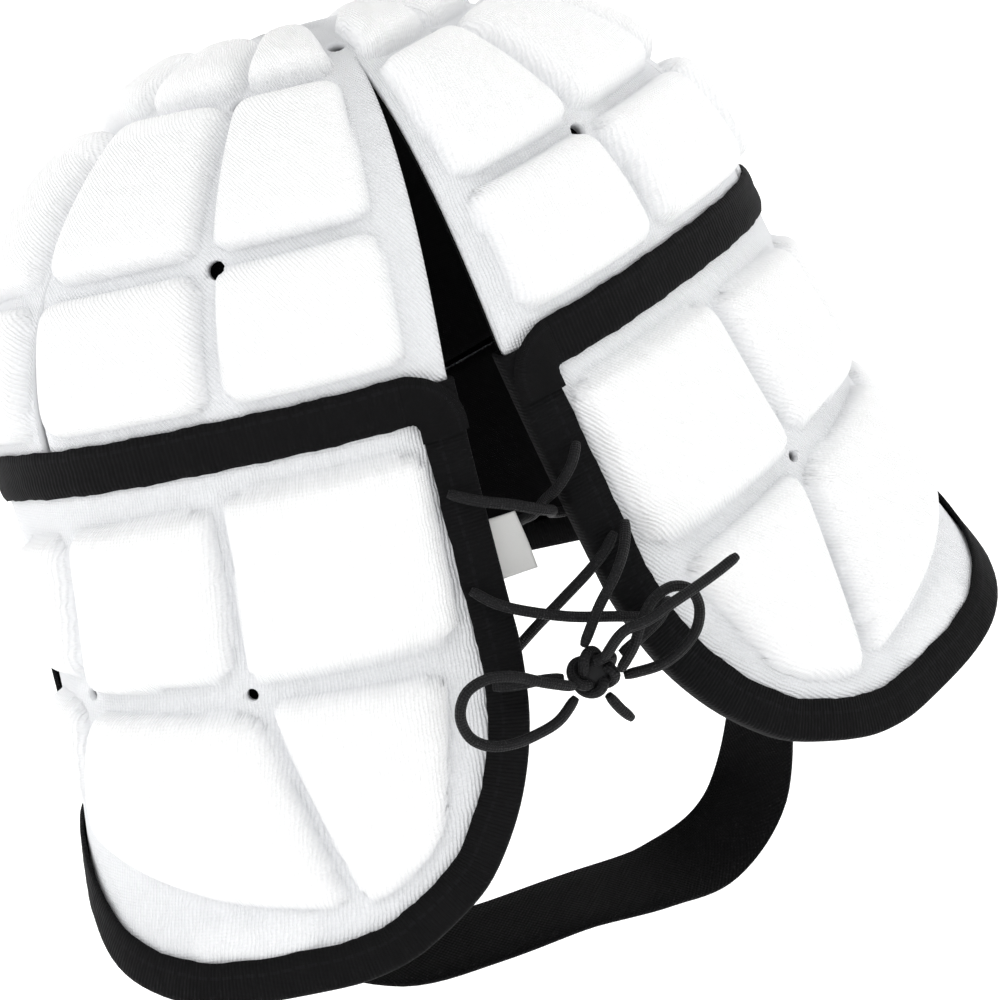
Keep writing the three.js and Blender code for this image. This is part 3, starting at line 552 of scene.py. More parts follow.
def crownPlace(across, along):
    low = seamHalf - form["seamDrop"]
    last = float(arcOf(np.array(crownGrid["lastRing"])))
    run = low + (last - low) * np.minimum(along * crownGrid["rows"] / (crownGrid["rows"] - 1), 1)
    level = np.where(run > 0, np.interp(run, meridianArc, meridianLatitudes), run)
    level = np.where(along > pole, 90.0, level)
    shift = -form["slitLean"] * np.clip(level / form["slitLatitude"], 0, 1)
    return 360 * across + shift, level


def crownAround(turn):
    return np.where(turn <= 180, turn, 360 - turn)


def sideTurn(around, side):
    return around if side > 0 else 360 - around


def crownCloth(across, along):
    turn, level = crownPlace(across, along)
    x = np.where(turn <= 180, turn, turn - 360) * mmPerDegree(np.minimum(level, 50))
    rib = np.where(turn <= 180, crownGrid["leftRib"], crownGrid["rightRib"])
    return ribbed(x, arcOf(level), rib)


def makeLining(name, node, placeOf, rows, columns, cutter=None):
    def place(across, along):
        turn, level = placeOf(across, along)
        return offsetPoint(turn, level, np.full_like(turn, -lining["inset"]))

    def flat(across, along):
        turn, level = placeOf(across, along)
        return ribbed(turn * clothPerDegree, arcOf(level), 0)

    piece = clothGrid(name, rows, columns, place, flat)
    mergeDoubles(piece)
    outwards(piece)
    thicken(piece, lining["thickness"])
    finishPiece(piece, jersey, node)
    if cutter:
        cutBy(piece, cutter)


# Foam pads under knit: the cloth is lifted over each pad, and its height sets the painted shade in the
# grooves
def makePadding(name, node, grid, placeOf, pads, flat, closedRound=False, cutters=()):
    found = {}

    def place(across, along):
        turn, level = placeOf(across, along)
        fade = 1 - smoothstep(level, padShape["fadeFrom"], padShape["fadeTo"])
        found["height"] = padHeights(crownAround(turn), level, pads) * fade
        return offsetPoint(turn, level, found["height"])

    # Share of the pad height, low in the grooves, which the knit turns into painted shade
    def heightForShade(across, along):
        return np.clip(found["height"] / form["relief"], 0, 1)

    piece = clothGrid(name, *grid, place, flat, heightForShade)
    if closedRound:
        mergeDoubles(piece)
    outwards(piece)
    thicken(piece, form["foam"] - 0.4)
    for cutter in cutters:
        cutBy(piece, cutter)
    finishPiece(piece, paddedKnit, node)


# A ring of points swept along a row of places: a grid wrapped round, its ends capped
def wrapGrid(work, rings, closed=False, flat=None):
    rings = [*rings, rings[0]] if closed else rings
    count = len(rings[0])
    grid = bmesh.ops.create_grid(work, x_segments=count, y_segments=len(rings) - 1, size=1, calc_uvs=False)
    for vert, (row, column) in zip(grid["verts"], np.ndindex(len(rings), count + 1)):
        vert.co = Vector(rings[row][column % count] * mm)
        if flat:
            for loop in vert.link_loops:
                loop[work.loops.layers.uv.active].uv = flat(row, column)
    bmesh.ops.remove_doubles(work, verts=work.verts, dist=0.0001 * mm)
    bmesh.ops.holes_fill(work, edges=[edge for edge in work.edges if edge.is_boundary], sides=0)
    bmesh.ops.recalc_face_normals(work, faces=work.faces)


def ventCutters(places, diameter):
    work = bmesh.new()
    for turn, level in places:
        aim = Vector(capNormal(turn, level)).to_track_quat("Z", "Y").to_matrix().to_4x4()
        matrix = Matrix.Translation(Vector(capPoint(turn, level) * mm)) @ aim
        bmesh.ops.create_cone(work, cap_ends=True, segments=14, radius1=diameter / 2 * mm,
                              radius2=diameter / 2 * mm, depth=16 * mm, matrix=matrix)
    return work


def cutBy(piece, work):
    bmesh.ops.recalc_face_normals(work, faces=work.faces)
    mesh = bpy.data.meshes.new("cutter")
    work.to_mesh(mesh)
    work.free()
    cutter = bpy.data.objects.new("cutter", mesh)
    bpy.context.collection.objects.link(cutter)
    cut = piece.modifiers.new("cut", "BOOLEAN")
    cut.object = cutter
    cut.operation = "DIFFERENCE"
    cut.solver = "MANIFOLD"
    applyModifiers(piece)
    bpy.data.objects.remove(cutter)


crownVents = {"places": [(28.8, 25.8), (30.2, 58), (114, 27)], "top": (0, 68.5), "diameter": 4.4}
sideSlit = {"seamAround": 57.5, "topAround": 58.2, "from": -6.0, "to": 42.0, "width": 2.6, "stations": 12,
            "inner": -6.0, "outer": 14.0}


def slitRings(side, settings):
    rings = []
    for share in np.linspace(0, 1, settings["stations"]):
        level = settings["from"] - 3 + (settings["to"] - settings["from"] + 3) * share
        around = settings["seamAround"] + (settings["topAround"] - settings["seamAround"]) * share
        turn = sideTurn(around, side)
        half = max(settings["width"] * math.sin(math.pi * min(share + 0.25, 1)) ** 0.7, 0.15) / 2
        inner, outer = (offsetPoint(turn, level, settings[key]) for key in ("inner", "outer"))
        across = capPoint(turn + 0.1, level) - capPoint(turn - 0.1, level)
        across = across / np.linalg.norm(across) * half
        rings.append([inner - across, inner + across, outer + across, outer - across])
    return rings


def makeCrown():
    both = [(sideTurn(around, side), level) for around, level in crownVents["places"] for side in (1, -1)]
    cutters = ventCutters(both + [crownVents["top"]], crownVents["diameter"])
    for side in (1, -1):
        wrapGrid(cutters, slitRings(side, sideSlit))
    makePadding("crown_padding", "crown_panel", (crownGrid["rows"], crownGrid["columns"]), crownPlace,
                crownPads(), crownCloth, True, [cutters])


makeCrown()
print("crown padded")
makeLining("crown_inner_lining", "crown_lining", crownPlace, 60, 150)

# Side panels
sideTurns, sideLevels = sideTables()
sideGrid = {"rows": 108, "columns": 188, "leftRib": 3, "rightRib": -30}
rowSpans = [15, 40, 9, 18, 18, 12]
columnSpans = [10, 19, 20, 5, 17, 17, 7, 25, 9, 20, 20, 5, 18, 7]


def sidePlaceOf(side):
    rowShares, rowIndex = spaced(rowSpans)
    columnShares, columnIndex = spaced(columnSpans)

    def placeOf(across, along):
        row = np.interp(along, rowShares, rowIndex)
        column = np.interp(across, columnShares, columnIndex)
        turn = onLattice(sideTurns, row, column)
        level = onLattice(sideLevels, row, column)
        return sideTurn(turn, side), level

    return placeOf


ear = {"around": 84, "drop": 48, "halfWidth": 20, "halfHeight": 22, "steps": 72, "tape": 6, "reach": 20}
sideVents = {"places": [(32.6, -60), (56.6, -55.5)], "diameter": 3.0}


def earRim(side, steps):
    angles = np.linspace(0, math.tau, steps, endpoint=False)
    ahead, behind = (capPoint(ear["around"] + half, -ear["drop"]) for half in (0.5, -0.5))
    perDegree = np.linalg.norm(ahead - behind)
    around = ear["around"] + ear["halfWidth"] * np.cos(angles) / perDegree
    return sideTurn(around, side), ear["halfHeight"] * np.sin(angles) - ear["drop"]


def earCutter(side):
    rim = capPoint(*earRim(side, 48))
    out = capNormal(sideTurn(ear["around"], side), -ear["drop"]) * ear["reach"]
    work = bmesh.new()
    wrapGrid(work, [rim - out, rim + out])
    return work


def makeSide(side):
    word = "left" if side > 0 else "right"
    placeOf = sidePlaceOf(side)

    def flat(across, along):
        turn, level = placeOf(across, along)
        signed = np.where(turn <= 180, turn, turn - 360)
        return ribbed(signed * clothPerDegree, level, sideGrid[f"{word}Rib"])

    vents = ventCutters([(sideTurn(around, side), level) for around, level in sideVents["places"]],
                        sideVents["diameter"])
    makePadding(f"{word}_side_padding", f"{word}_side_panel", (sideGrid["rows"], sideGrid["columns"]),
                placeOf, sidePads, flat, cutters=[vents, earCutter(side)])
    makeLining(f"{word}_inner_lining", f"{word}_side_lining", placeOf, 50, 90, earCutter(side))


for side in (1, -1):
    makeSide(side)
print("side panels padded")

# Front panel
frontPads = [
    ([(116, -15), (144, -15), (144, -58), (130, -64), (116, -69)], 7),
    ([(148, -15), (175.5, -15), (175.5, -49.5), (162, -51), (148, -55)], 7),
]


frontHalf = 67.85  # degrees from the middle of the brow to the front seam


def frontFoot(around):
    return form["cheekDrop"] + (form["browDrop"] - form["cheekDrop"]) * smoothstep(around, 112, 180)


def frontPlaceOf(across, along):
    turn = 180 + frontHalf * (2 * across - 1)
    foot = frontFoot(crownAround(turn))
    top = form["seamDrop"] + seamHalf
    return turn, -(top + (foot - top) * along)


def makeFront():
    def flat(across, along):
        turn, level = frontPlaceOf(across, along)
        return ribbed((turn - 180) * clothPerDegree, level, 0)

    makePadding("front_padding", "front_panel", (54, 190), frontPlaceOf, frontPads, flat)
    makeLining("front_inner_lining", "front_lining", frontPlaceOf, 20, 80)


makeFront()
print("front panel padded")


# Tapes sewn flat over the seams
def wavy(values, size, seed):
    slow = np.sin(values * 0.83 + seed)
    return size * (slow + 0.6 * np.sin(values * 2.1 + 2 * seed) + 0.4 * np.sin(values * 4.7 + seed))


seamTape = {"width": 11, "reach": 3.7, "foot": -13.5, "corner": 7.5, "turned": 0.09,
            "height": 1.5, "climb": 1.35, "thickness": 0.9}
frontTape = {"around": 112, "degrees": 4.6, "top": -10, "foot": -74, "height": 1.3}


def tapeMiddle(across):
    share = np.minimum(across, 1 - across)
    perDegree = mmPerDegree(0)
    corner, foot = seamTape["corner"], seamTape["foot"]
    straight = -form["seamDrop"]
    quarter = math.pi / 2 * corner
    down = straight - corner - foot
    run = share / seamTape["turned"] * (down + quarter)
    turned = run < down + quarter
    angle = np.clip((run - down) / corner, 0, math.pi / 2)
    acrossPlace = seamTape["reach"] + corner * (1 - np.cos(angle))
    upPlace = np.where(run < down, foot + run, straight - corner + corner * np.sin(angle))
    edge = (seamTape["reach"] + corner) / perDegree
    even = edge + (share - seamTape["turned"]) / (0.5 - seamTape["turned"]) * (180 - edge)
    around = np.where(turned, acrossPlace / perDegree, even)
    level = np.where(turned, upPlace, straight)
    lean = np.where(turned, math.pi / 2 - angle, 0.0)
    return around, level, lean


def makeSeamTape():
    half = seamTape["width"] / 2

    def place(across, along):
        around, level, lean = tapeMiddle(across)
        turn = np.where(across <= 0.5, around, 360 - around)
        facing = np.where(across <= 0.5, 1.0, -1.0)[..., None]
        round = (capPoint(turn + 0.05, level) - capPoint(turn - 0.05, level)) * facing
        round /= np.linalg.norm(round, axis=-1, keepdims=True)
        rise = np.cross(round, capNormal(turn, level)) * facing
        side = (2 * along - 1) * (half + wavy(around * 0.9, 0.12, 1.3))
        edge = np.abs(2 * along - 1)
        height = seamTape["height"] + seamTape["climb"] * np.sin(lean) ** 0.7
        height += 0.2 * np.sin(edge * math.pi) - 0.5 * edge ** 6
        aside = (side * -np.sin(lean))[..., None] * round + (side * np.cos(lean))[..., None] * rise
        return offsetPoint(turn, level, height) + aside

    def flat(across, along):
        return np.stack([across * 600, along * 11 - 1.7], axis=-1)

    piece = clothGrid("crown_seam_tape", 10, 460, place, flat)
    outwards(piece)
    thicken(piece, seamTape["thickness"])
    finishPiece(piece, edgeTape, "seam_tape")


def makeFrontSeamTape(side):
    word = "left" if side > 0 else "right"

    def place(across, along):
        turn = sideTurn(frontTape["around"] + (across - 0.5) * frontTape["degrees"], side)
        level = frontTape["top"] + (frontTape["foot"] - frontTape["top"]) * along
        return offsetPoint(turn, level, frontTape["height"] - 0.4 * np.abs(2 * across - 1) ** 6)

    def flat(across, along):
        return np.stack([along * 67, across * 8.3], axis=-1)

    piece = clothGrid(f"{word}_temple_tape", 60, 8, place, flat)
    outwards(piece)
    thicken(piece, seamTape["thickness"])
    finishPiece(piece, edgeTape, f"{word}_front_seam_tape")


makeSeamTape()
for side in (1, -1):
    makeFrontSeamTape(side)
print("seams taped")


def sweep(name, rings, flatRing, lengths, closed):
    work = bmesh.new()
    work.loops.layers.uv.new("cloth")
    around = [*flatRing, flatRing[-1] + abs(flatRing[-1] - flatRing[-2])]
    wrapGrid(work, rings, closed, lambda row, column: (lengths[row], around[column]))
    mesh = bpy.data.meshes.new(name)
    work.to_mesh(mesh)
    work.free()
    piece = bpy.data.objects.new(name, mesh)
    bpy.context.collection.objects.link(piece)
    return piece


def runningLength(points, closed=False):
    steps = np.linalg.norm(np.diff(points, axis=0), axis=1)
    if closed:
        steps = np.append(steps, np.linalg.norm(points[0] - points[-1]))
    return np.concatenate([[0], np.cumsum(steps)])


binding = {"width": 10, "wall": form["wall"] + 1.6, "outerGap": 0.45, "thickness": 0.95}


# Folded tape section, (into the panel, outwards), with soft rounded folds
def foldedSection(width):
    wall, outerGap, thickness = (binding[key] for key in ("wall", "outerGap", "thickness"))
    fold = -outerGap - thickness - 0.15
    leg = width + fold
    middle = -wall / 2
    top = outerGap + thickness
    return np.array([
        (leg, outerGap), (leg + 0.15, outerGap + thickness * 0.5), (leg - 0.1, top),
        (leg * 0.7, top + 0.2), (leg * 0.35, top + 0.28), (0, top + 0.1),
        (fold * 0.6, top - 0.25), (fold * 0.95, outerGap - 0.4), (fold, middle),
        (fold * 0.95, -wall + 0.4), (fold * 0.5, -wall - thickness + 0.1), (0.4, -wall - thickness),
        (leg, -wall - thickness), (leg, -wall), (0.3, -wall), (-outerGap, -wall + 0.7),
        (-outerGap - 0.2, middle),
        (-outerGap, 0), (0, outerGap),
    ])


def bindingRings(turn, level, section, closed=False, seed=0.0):
    points = capPoint(turn, level)
    if closed:
        along = np.roll(points, -1, axis=0) - np.roll(points, 1, axis=0)
    else:
        along = np.gradient(points, axis=0)
    along /= np.linalg.norm(along, axis=1, keepdims=True)
    out = capNormal(turn, level)
    inwards = np.cross(along, out)
    inwards /= np.linalg.norm(inwards, axis=1, keepdims=True)
    out = np.cross(inwards, along)
    lengths = runningLength(points, closed)
    rings = []
    for i, point in enumerate(points):
        wave = wavy(lengths[i] * 0.5, 0.13, seed)
        leg = section.copy()
        leg[:4, 0] += wave
        leg[3:6, 1] += wavy(lengths[i] * 0.35, 0.06, seed + 1)
        rings.append(point + leg[:, :1] * inwards[i] + leg[:, 1:] * out[i])
    return rings, lengths


def sectionFlat(section):
    gaps = np.linalg.norm(np.diff(section, axis=0), axis=1)
    run = np.concatenate([[0], np.cumsum(gaps)])
    return run[6] - run + 1.0


def smoothed(values, times):
    for _ in range(times):
        inner = (values[:-2] + 2 * values[1:-1] + values[2:]) / 4
        values = np.concatenate([values[:1], inner, values[-1:]])
    return values


def lobeEdge():
    rowShares, rowIndex = spaced(rowSpans)
    columnShares, columnIndex = spaced(columnSpans)
    topTurn = np.array([0.0, 0.0])
    topLevel = np.array([-2.0, -3.2])
    rows = np.interp(np.linspace(0, 1, 56), rowShares, rowIndex)
    columns = np.interp(np.linspace(0, 1, 110)[1:], columnShares, columnIndex)
    lastRow = np.full_like(columns, 6.0)
    firstColumn = np.zeros_like(rows)
    down, under = (rows, firstColumn), (lastRow, columns)
    turn = np.concatenate([topTurn, onLattice(sideTurns, *down), onLattice(sideTurns, *under)])
    level = np.concatenate([topLevel, onLattice(sideLevels, *down), onLattice(sideLevels, *under)])
    turn, level = smoothed(turn, 6), smoothed(level, 6)
    turn[-1] = 111.5
    return turn, level


def bindEdge(name, node, turn, level, width, seed, side=1, closed=False):
    section = foldedSection(width)
    rings, lengths = bindingRings(turn, level, section, closed, seed)
    if side < 0:
        rings = [ring * np.array([-1, 1, 1]) for ring in rings]
    piece = sweep(name, rings, sectionFlat(section), lengths, closed)
    finishPiece(piece, edgeTape, node)


def makeEarBinding(word, side):
    turn, level = earRim(1, ear["steps"])
    points = capPoint(turn, level)
    first = bindingRings(turn, level, foldedSection(ear["tape"]), True, 6.0)[0][0][0]
    if (first - points[0]) @ (points.mean(axis=0) - points[0]) > 0:  # the tape goes outwards from the opening
        turn, level = turn[::-1], level[::-1]
    bindEdge(f"{word}_ear_tape", f"{word}_ear_binding", turn, level, ear["tape"], 6.0, side, True)


for word, side in (("left", 1), ("right", -1)):
    bindEdge(f"{word}_lobe_tape", f"{word}_edge_binding", *lobeEdge(), binding["width"], 1.0 + side, side)
    makeEarBinding(word, side)
browTurn = np.linspace(112.5, 247.5, 130)
browLevel = -frontFoot(crownAround(browTurn))
bindEdge("brow_tape", "front_edge_binding", browTurn, browLevel, binding["width"], 4.0)
print("edges bound")


# Place on a smooth curve through four points, between the middle two (centripetal Catmull-Rom)
def curveStep(four, share):
    gaps = np.linalg.norm(np.diff(four, axis=0), axis=1) ** 0.5
    knots = np.concatenate([[0], np.cumsum(gaps)])
    t = knots[1] + (knots[2] - knots[1]) * share

    def between(a, b, first, last):
        return ((knots[last] - t) * a + (t - knots[first]) * b) / (knots[last] - knots[first])

    near = [between(four[i], four[i + 1], i, i + 1) for i in range(3)]
    wide = [between(near[i], near[i + 1], i, i + 2) for i in range(2)]
    return between(wide[0], wide[1], 1, 2)


def withEnds(points):
    return np.vstack([2 * points[0] - points[1], points, 2 * points[-1] - points[-2]])


# Smooth route through given points, evenly stepped
def routeThrough(points, steps):
    points = np.array(points, float)
    ended = withEnds(points)
    shares = np.linspace(0, 1, 24, endpoint=False)[:, None]
    fine = [curveStep(ended[i:i + 4], shares) for i in range(len(points) - 1)]
    fine = np.vstack(fine + [points[-1:]])
    run = runningLength(fine)
    even = np.linspace(0, run[-1], steps)
    return np.stack([np.interp(even, run, fine[:, axis]) for axis in range(3)], axis=-1)


def tubeRings(route, radius, sides, closed=False):
    along = np.gradient(route, axis=0)
    if closed:
        along = np.roll(route, -1, axis=0) - np.roll(route, 1, axis=0)
    along /= np.linalg.norm(along, axis=1, keepdims=True)
    first = np.cross(along[0], [0.3, 0.2, 1.0])
    rings = []
    for i, point in enumerate(route):
        first = first - along[i] * (first @ along[i])
        first /= np.linalg.norm(first)
        second = np.cross(along[i], first)
        angles = np.linspace(0, math.tau, sides, endpoint=False)[:, None]
        rings.append(point + radius * (np.cos(angles) * first + np.sin(angles) * second))
    return rings


lace = {"diameter": 2.5, "sides": 14, "step": 1.1, "knotCentre": (0.6, 109.4, -146.4),
        "knotSize": (13, 7.5, 12), "knotReach": 10.5, "gap": 0.3}
laceRoutes = {
    "lace_cross_upper": [
        (16.6, 99.9, -97.4), (11.5, 102.4, -100.7), (4, 103.4, -104.7), (-1.2, 103.4, -108),
        (-4.8, 99.6, -110.6),
        (-6.6, 93, -113), (-8, 88.4, -115), (-12, 87.8, -116.4),
    ],
    "lace_cross_lower": [
        (-15.2, 100, -98.2), (-11.9, 102.6, -101.4), (-7.8, 101, -105.6), (-5.2, 97, -108.4),
        (-2.6, 91.5, -112.4),
        (-0.8, 86, -114.4), (3, 83, -116.4), (7, 82.4, -118.4),
    ],
    "lace_cross_middle": [
        (19.4, 101.6, -119.6), (15, 104.2, -124.4), (2, 106, -132.6), (-10, 106.2, -138),
        (-16.5, 105.8, -141.2),
        (-19.4, 104.7, -142.6),
    ],
    "lace_cross_back": [
        (-16.6, 101.4, -120.8), (-13, 102.6, -123.4), (-8, 101.6, -126.8), (0.5, 100.5, -131.2),
        (7.5, 96, -136.6),
        (12.5, 91, -141.7),
    ],
    "lace_lead_middle": [
        (-19.8, 102.1, -119.2), (-16, 107, -123), (-11.5, 110, -126.6), (-5, 110.8, -132),
        (-0.6, 110.4, -137.2),
        (0.9, 109.6, -140),
    ],
    "lace_lead_left": [(22.6, 104.9, -141.6), (18, 107.6, -142.3), (13, 109, -143), (8, 109.2, -144.6)],
    "lace_lead_right": [
        (-22.9, 105, -139.6), (-18.6, 109.2, -141), (-12.6, 111, -142.6), (-6.8, 110.4, -144.6),
    ],
    "lace_loop_left": [
        (8.2, 112.5, -146.6), (13.6, 114, -141.6), (19.4, 114.4, -137.4), (25.4, 114.6, -135.2),
        (30.6, 114.4, -136.2),
        (33.6, 114.2, -140.6), (33.2, 114.2, -146.2), (29.6, 114, -150.2), (24.5, 113.6, -152.2),
        (18.4, 113, -152.8),
        (12.6, 112.2, -152.4), (7.8, 110.6, -150.4),
    ],
    "lace_loop_right": [
        (-6.6, 114, -147.6), (-8.4, 115.6, -142), (-11.4, 116.4, -137.4), (-15.4, 116.6, -133.6),
        (-20.4, 116.6, -132.4),
        (-24.4, 116.4, -134.6), (-25.6, 116.2, -139.2), (-23.6, 116, -144.2), (-19.2, 115.4, -147.6),
        (-13.8, 114, -149.6), (-7.2, 111.4, -150.6),
    ],
    "lace_end_long": [
        (-3.2, 115.4, -140.4), (-6.4, 119, -136.4), (-12, 120.4, -135.8), (-18.4, 120.6, -134.4),
        (-25, 119.8, -133.6),
        (-31, 118.8, -132.8), (-37, 118, -131.6),
    ],
    "lace_end_short": [(-1, 109, -153.3), (-2.6, 109.2, -157.4), (-4.6, 109, -161)],
}
# Strands long enough to hang by themselves, with what their far end meets and how they lie
freeStrands = {
    "lace_loop_left": ("knot", "loose"),
    "lace_loop_right": ("knot", "loose"),
    "lace_end_long": ("bare", "loose"),
}


def seated(end):
    away = np.array(end, float) - np.array(lace["knotCentre"])
    length = np.linalg.norm(away)
    if length > lace["knotReach"]:
        return np.array(end, float)
    reach = np.linalg.norm(away / np.array(lace["knotSize"])) * 2
    return np.array(lace["knotCentre"]) + away * (1 / reach + 3 * lace["gap"] / length)


def makeKnot():
    wide, deep, tall = (size / 2 - lace["diameter"] / 2 for size in lace["knotSize"])
    turns = np.linspace(0, math.tau, 220, endpoint=False)
    wrap = 1 + 0.3 * np.cos(5 * turns)
    route = np.stack([
        wide * np.sin(2 * turns) * wrap / 1.3,
        deep * np.sin(5 * turns) * 0.75,
        tall * np.cos(2 * turns) * wrap / 1.3,
    ], axis=-1) + np.array(lace["knotCentre"])
    rings = tubeRings(route, lace["diameter"] / 2, lace["sides"], closed=True)
    ringFlat = np.linspace(0, math.pi * lace["diameter"], lace["sides"], endpoint=False)
    piece = sweep("lace_bow_knot", rings, ringFlat, runningLength(route, True), True)
    work = bmesh.new()
    work.from_mesh(piece.data)
    core = Matrix.Diagonal((wide * mm, deep * 0.8 * mm, tall * mm, 1))
    core = Matrix.Translation(Vector(lace["knotCentre"]) * mm) @ core
    bmesh.ops.create_uvsphere(work, u_segments=20, v_segments=12, radius=0.8, matrix=core)
    work.to_mesh(piece.data)
    work.free()
    finishPiece(piece, braid, "lace_knot")
    return piece


bowKnot = makeKnot()


def makeStrand(node, points):
    route = [np.array(point, float) for point in points]
    route[0], route[-1] = seated(route[0]), seated(route[-1])
    fine = routeThrough(route, max(int(runningLength(np.array(route))[-1] / lace["step"]), 8))
    rings = tubeRings(fine, lace["diameter"] / 2, lace["sides"])
    for i, share in enumerate((0.72, 0.94)):
        for end in (i, -1 - i):
            centre = fine[end]
            rings[end] = centre + (rings[end] - centre) * share
    ringFlat = np.linspace(0, math.pi * lace["diameter"], lace["sides"], endpoint=False)
    piece = sweep(node + "_cord", rings, ringFlat, runningLength(fine), False)
    finishPiece(piece, braid, node)
    return piece, fine


strands = {node: makeStrand(node, points) for node, points in laceRoutes.items()}
for node, (farEnd, lay) in freeStrands.items():
    piece, route = strands[node]
    runningLength(route)[-1] * mm
    [tuple(point * mm) for point in route]
print("lace tied")

# Chin strap
strap = {"width": 25, "thickness": 1.6, "around": 103, "foot": 89, "steps": 32, "lapFrom": 7, "lapTo": 11,
         "gap": 0.3}
cheekDepths = [(22, 7.4), (14, 8.6), (6, 9.9), (-3, 10.2)]
strapPoints = [
    ((87.5, -20, -193), (0, -1, 0)), ((83.9, -22, -219), (-0.1, -1, 0.05)), ((71.4, -24, -244),
    (-0.3, -0.9, 0.2)),
    ((50, -23, -261), (-0.2, -0.9, 0.3)), ((23.2, -21, -267), (-0.05, -0.95, 0.3)),
    ((-5.4, -20, -270), (0, -0.96, 0.28)),
    ((-33.9, -22, -276), (0, -0.9, 0.4)), ((-55.4, -27, -278), (0.1, -0.6, 0.75)),
    ((-71.4, -30, -270), (0.4, -0.5, 0.75)),
    ((-83, -28, -247), (0.4, -0.85, 0.3)), ((-87.5, -24, -221), (0.1, -1, 0.1)), ((-88.4, -20, -193),
    (0, -1, 0)),
]


def cheekStations(turn):
    stations = []
    for above, inwards in cheekDepths:
        level = above - strap["foot"]
        across = capPoint(turn + 0.05, level) - capPoint(turn - 0.05, level)
        across = across / np.linalg.norm(across) * (1 if turn < 180 else -1)
        stations.append((offsetPoint(turn, level, -inwards), across))
    return stations


def strapStations():
    stations = cheekStations(strap["around"])
    stations += [(np.array(at, float), np.array(width, float)) for at, width in strapPoints]
    return stations + cheekStations(360 - strap["around"])[::-1]


def strapCurve(stations, shares):
    points = np.array([at for at, _ in stations])
    ended = withEnds(points)
    places = []
    for share in shares:
        place = share * (len(points) - 1)
        i = min(int(place), len(points) - 2)
        places.append(curveStep(ended[i:i + 4], place - i))
    return np.array(places)


def makeStrapHalf(name, node, first, last, lift):
    stations = strapStations()
    steps = np.linspace(first, last, int((last - first) * 4) + 1)
    shares = steps / strap["steps"]
    places = strapCurve(stations, shares)
    ahead, behind = (strapCurve(stations, np.clip(shares + step, 0, 1)) for step in (0.002, -0.002))
    along = ahead - behind
    along /= np.linalg.norm(along, axis=1, keepdims=True)
    half, thin = strap["width"] / 2, strap["thickness"] / 2
    under = [(-half, -thin * 0.6), (-half + 0.4, -thin), (-half / 2, -thin), (0, -thin), (half / 2, -thin),
             (half - 0.4, -thin), (half, -thin * 0.6)]
    outline = np.array(under + [(across, -up) for across, up in under[::-1]])
    rings = []
    for i, share in enumerate(shares):
        place = share * (len(stations) - 1)
        k = min(int(place), len(stations) - 2)
        wide = stations[k][1] * (1 - place + k) + stations[k + 1][1] * (place - k)
        wide = wide - along[i] * (wide @ along[i])
        wide /= np.linalg.norm(wide)
        face = np.cross(along[i], wide)
        centre = places[i] + face * lift(steps[i])
        rings.append(centre + outline[:, :1] * wide + outline[:, 1:] * face)
    run = np.concatenate([[0], np.cumsum(np.linalg.norm(np.diff(outline, axis=0), axis=1))])
    piece = sweep(name, rings, run, runningLength(places), False)
    finishPiece(piece, webbing, node)


lapLift = (strap["thickness"] + strap["gap"]) / 2
makeStrapHalf("chin_strap_left_webbing", "chin_strap_left", 0, strap["lapTo"],
              lambda step: lapLift * float(smoothstep(step, strap["lapFrom"] - 3, strap["lapFrom"] - 1)))
makeStrapHalf("chin_strap_right_webbing", "chin_strap_right", strap["lapFrom"], strap["steps"],
              lambda step: -lapLift * (1 - float(smoothstep(step, strap["lapTo"] + 1, strap["lapTo"] + 3))))
print("chin strap hung")

# Size tag, a folded slip of satin with no marks
tag = {"drops": (36.5, 43.5, 50.5), "turn": 1.2, "thickness": 0.8,
       "free": ((0.6, 88.6, -110.7), (0.1, 88.9, -118.2), (-0.1, 89.2, -125.2))}


def makeTag():
    inset = binding["wall"] + 1.1 + 0.3 + tag["thickness"]
    sewn = np.array([offsetPoint(tag["turn"], -drop, -inset) for drop in tag["drops"]])
    free = np.array(tag["free"])

    def place(across, along):
        columns = []
        for axis in range(3):
            start = np.interp(along, (0, 0.5, 1), sewn[:, axis])
            end = np.interp(along, (0, 0.5, 1), free[:, axis])
            columns.append(start + (end - start) * across)
        points = np.stack(columns, axis=-1)
        points[:, 1] += tag["thickness"] + 0.25 * np.sin(along * math.pi) * across
        return points

    def flat(across, along):
        return np.stack([across * 12, along * 15], axis=-1)

    piece = clothGrid("size_tag_slip", 20, 16, place, flat)
    work = bmesh.new()
    work.from_mesh(piece.data)
    if sum(face.normal.y for face in work.faces) < 0:
        bmesh.ops.reverse_faces(work, faces=work.faces)
    work.to_mesh(piece.data)
    work.free()
    thicken(piece, tag["thickness"] - 0.1)
    finishPiece(piece, satin, "size_tag")


makeTag()
print("tag sewn")

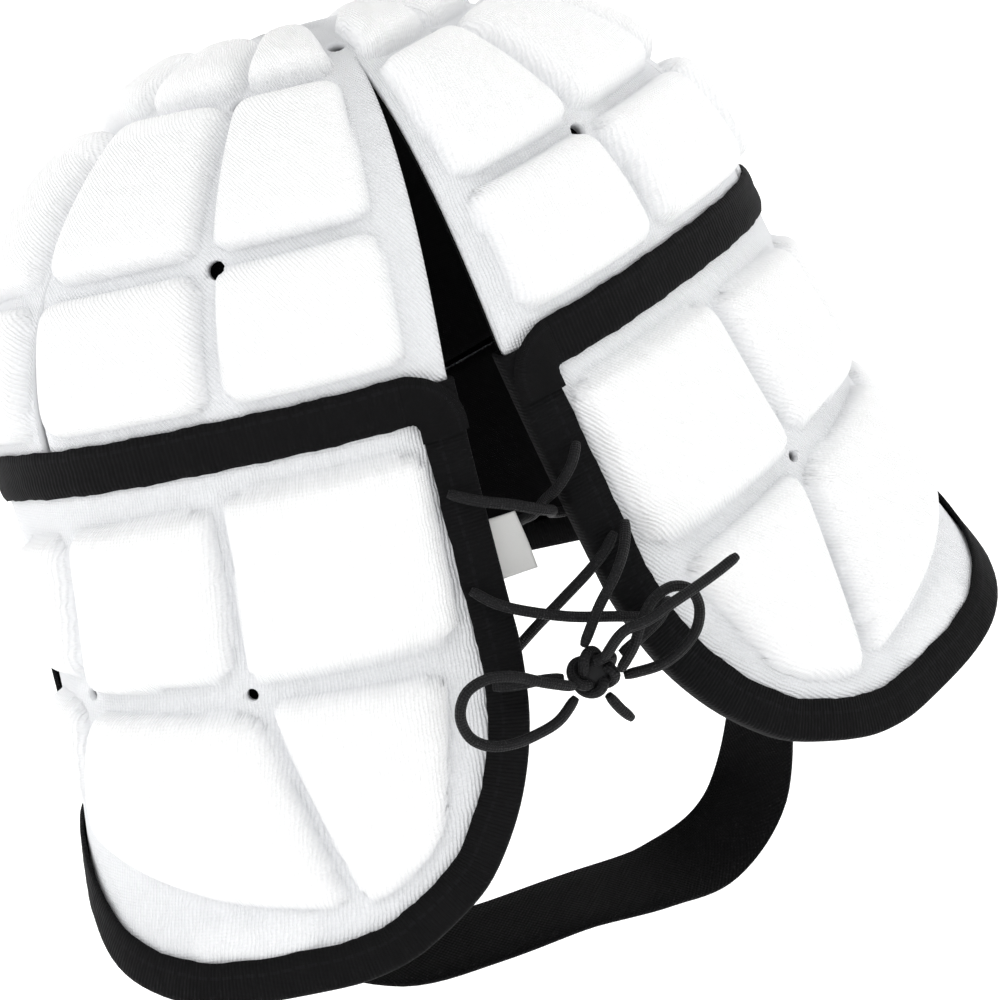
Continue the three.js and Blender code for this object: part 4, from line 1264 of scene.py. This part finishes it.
# Floor and lights
studio = {"floor": -326, "reach": 3.5, "wall": 4.0, "floorColour": "#ffffff", "floorGlow": 0.42, "world": 0.6}


def makeStudio(settings):
    work = bmesh.new()
    bmesh.ops.create_grid(work, x_segments=1, y_segments=1, size=settings["reach"])
    bmesh.ops.translate(work, verts=work.verts, vec=(0, 0, settings["floor"] * mm))
    far = [edge for edge in work.edges if any(v.co.y < 0 for v in edge.verts)]
    raised = bmesh.ops.extrude_edge_only(work, edges=far)["geom"]
    lifted = [item for item in raised if isinstance(item, bmesh.types.BMVert)]
    bmesh.ops.translate(work, verts=lifted, vec=(0, 0, settings["wall"]))
    bmesh.ops.recalc_face_normals(work, faces=work.faces)
    mesh = bpy.data.meshes.new("floor")
    work.to_mesh(mesh)
    work.free()
    floor = bpy.data.objects.new("floor", mesh)
    bpy.context.collection.objects.link(floor)
    # Pale paper: matt, with a faint glow of its own, so that it stays white into the corners
    material, _, shader = newMaterial("pale_paper", settings["floorColour"], 0.9)
    shader.inputs["Emission Strength"].default_value = settings["floorGlow"]
    shader.inputs["Emission Color"].default_value = linear(settings["floorColour"])
    mesh.materials.append(material)
    world = bpy.context.scene.world or bpy.data.worlds.new("studio")
    bpy.context.scene.world = world
    world.use_nodes = True
    background = world.node_tree.nodes["Background"]
    background.inputs["Color"].default_value = (1, 1, 1, 1)
    background.inputs["Strength"].default_value = settings["world"]
    bpy.context.scene.view_settings.view_transform = "Standard"


lightAim = (0, 0, -0.1)
lights = {  # place and size in m, watts
    "key": ((0.5, 0.9, 1.2), 0.7, 7),
    "fill": ((-1.1, 1.0, 0.2), 1.2, 1.5),
}


def makeLight(name, place, size, power):
    data = bpy.data.lights.new(name, "AREA")
    data.size = size
    data.energy = power
    light = bpy.data.objects.new(name, data)
    light.location = Vector(place)
    light.rotation_euler = (Vector(lightAim) - Vector(place)).to_track_quat("-Z", "Y").to_euler()
    bpy.context.collection.objects.link(light)


makeStudio(studio)
for name, settings in lights.items():
    makeLight(name, *settings)
print("studio lit")
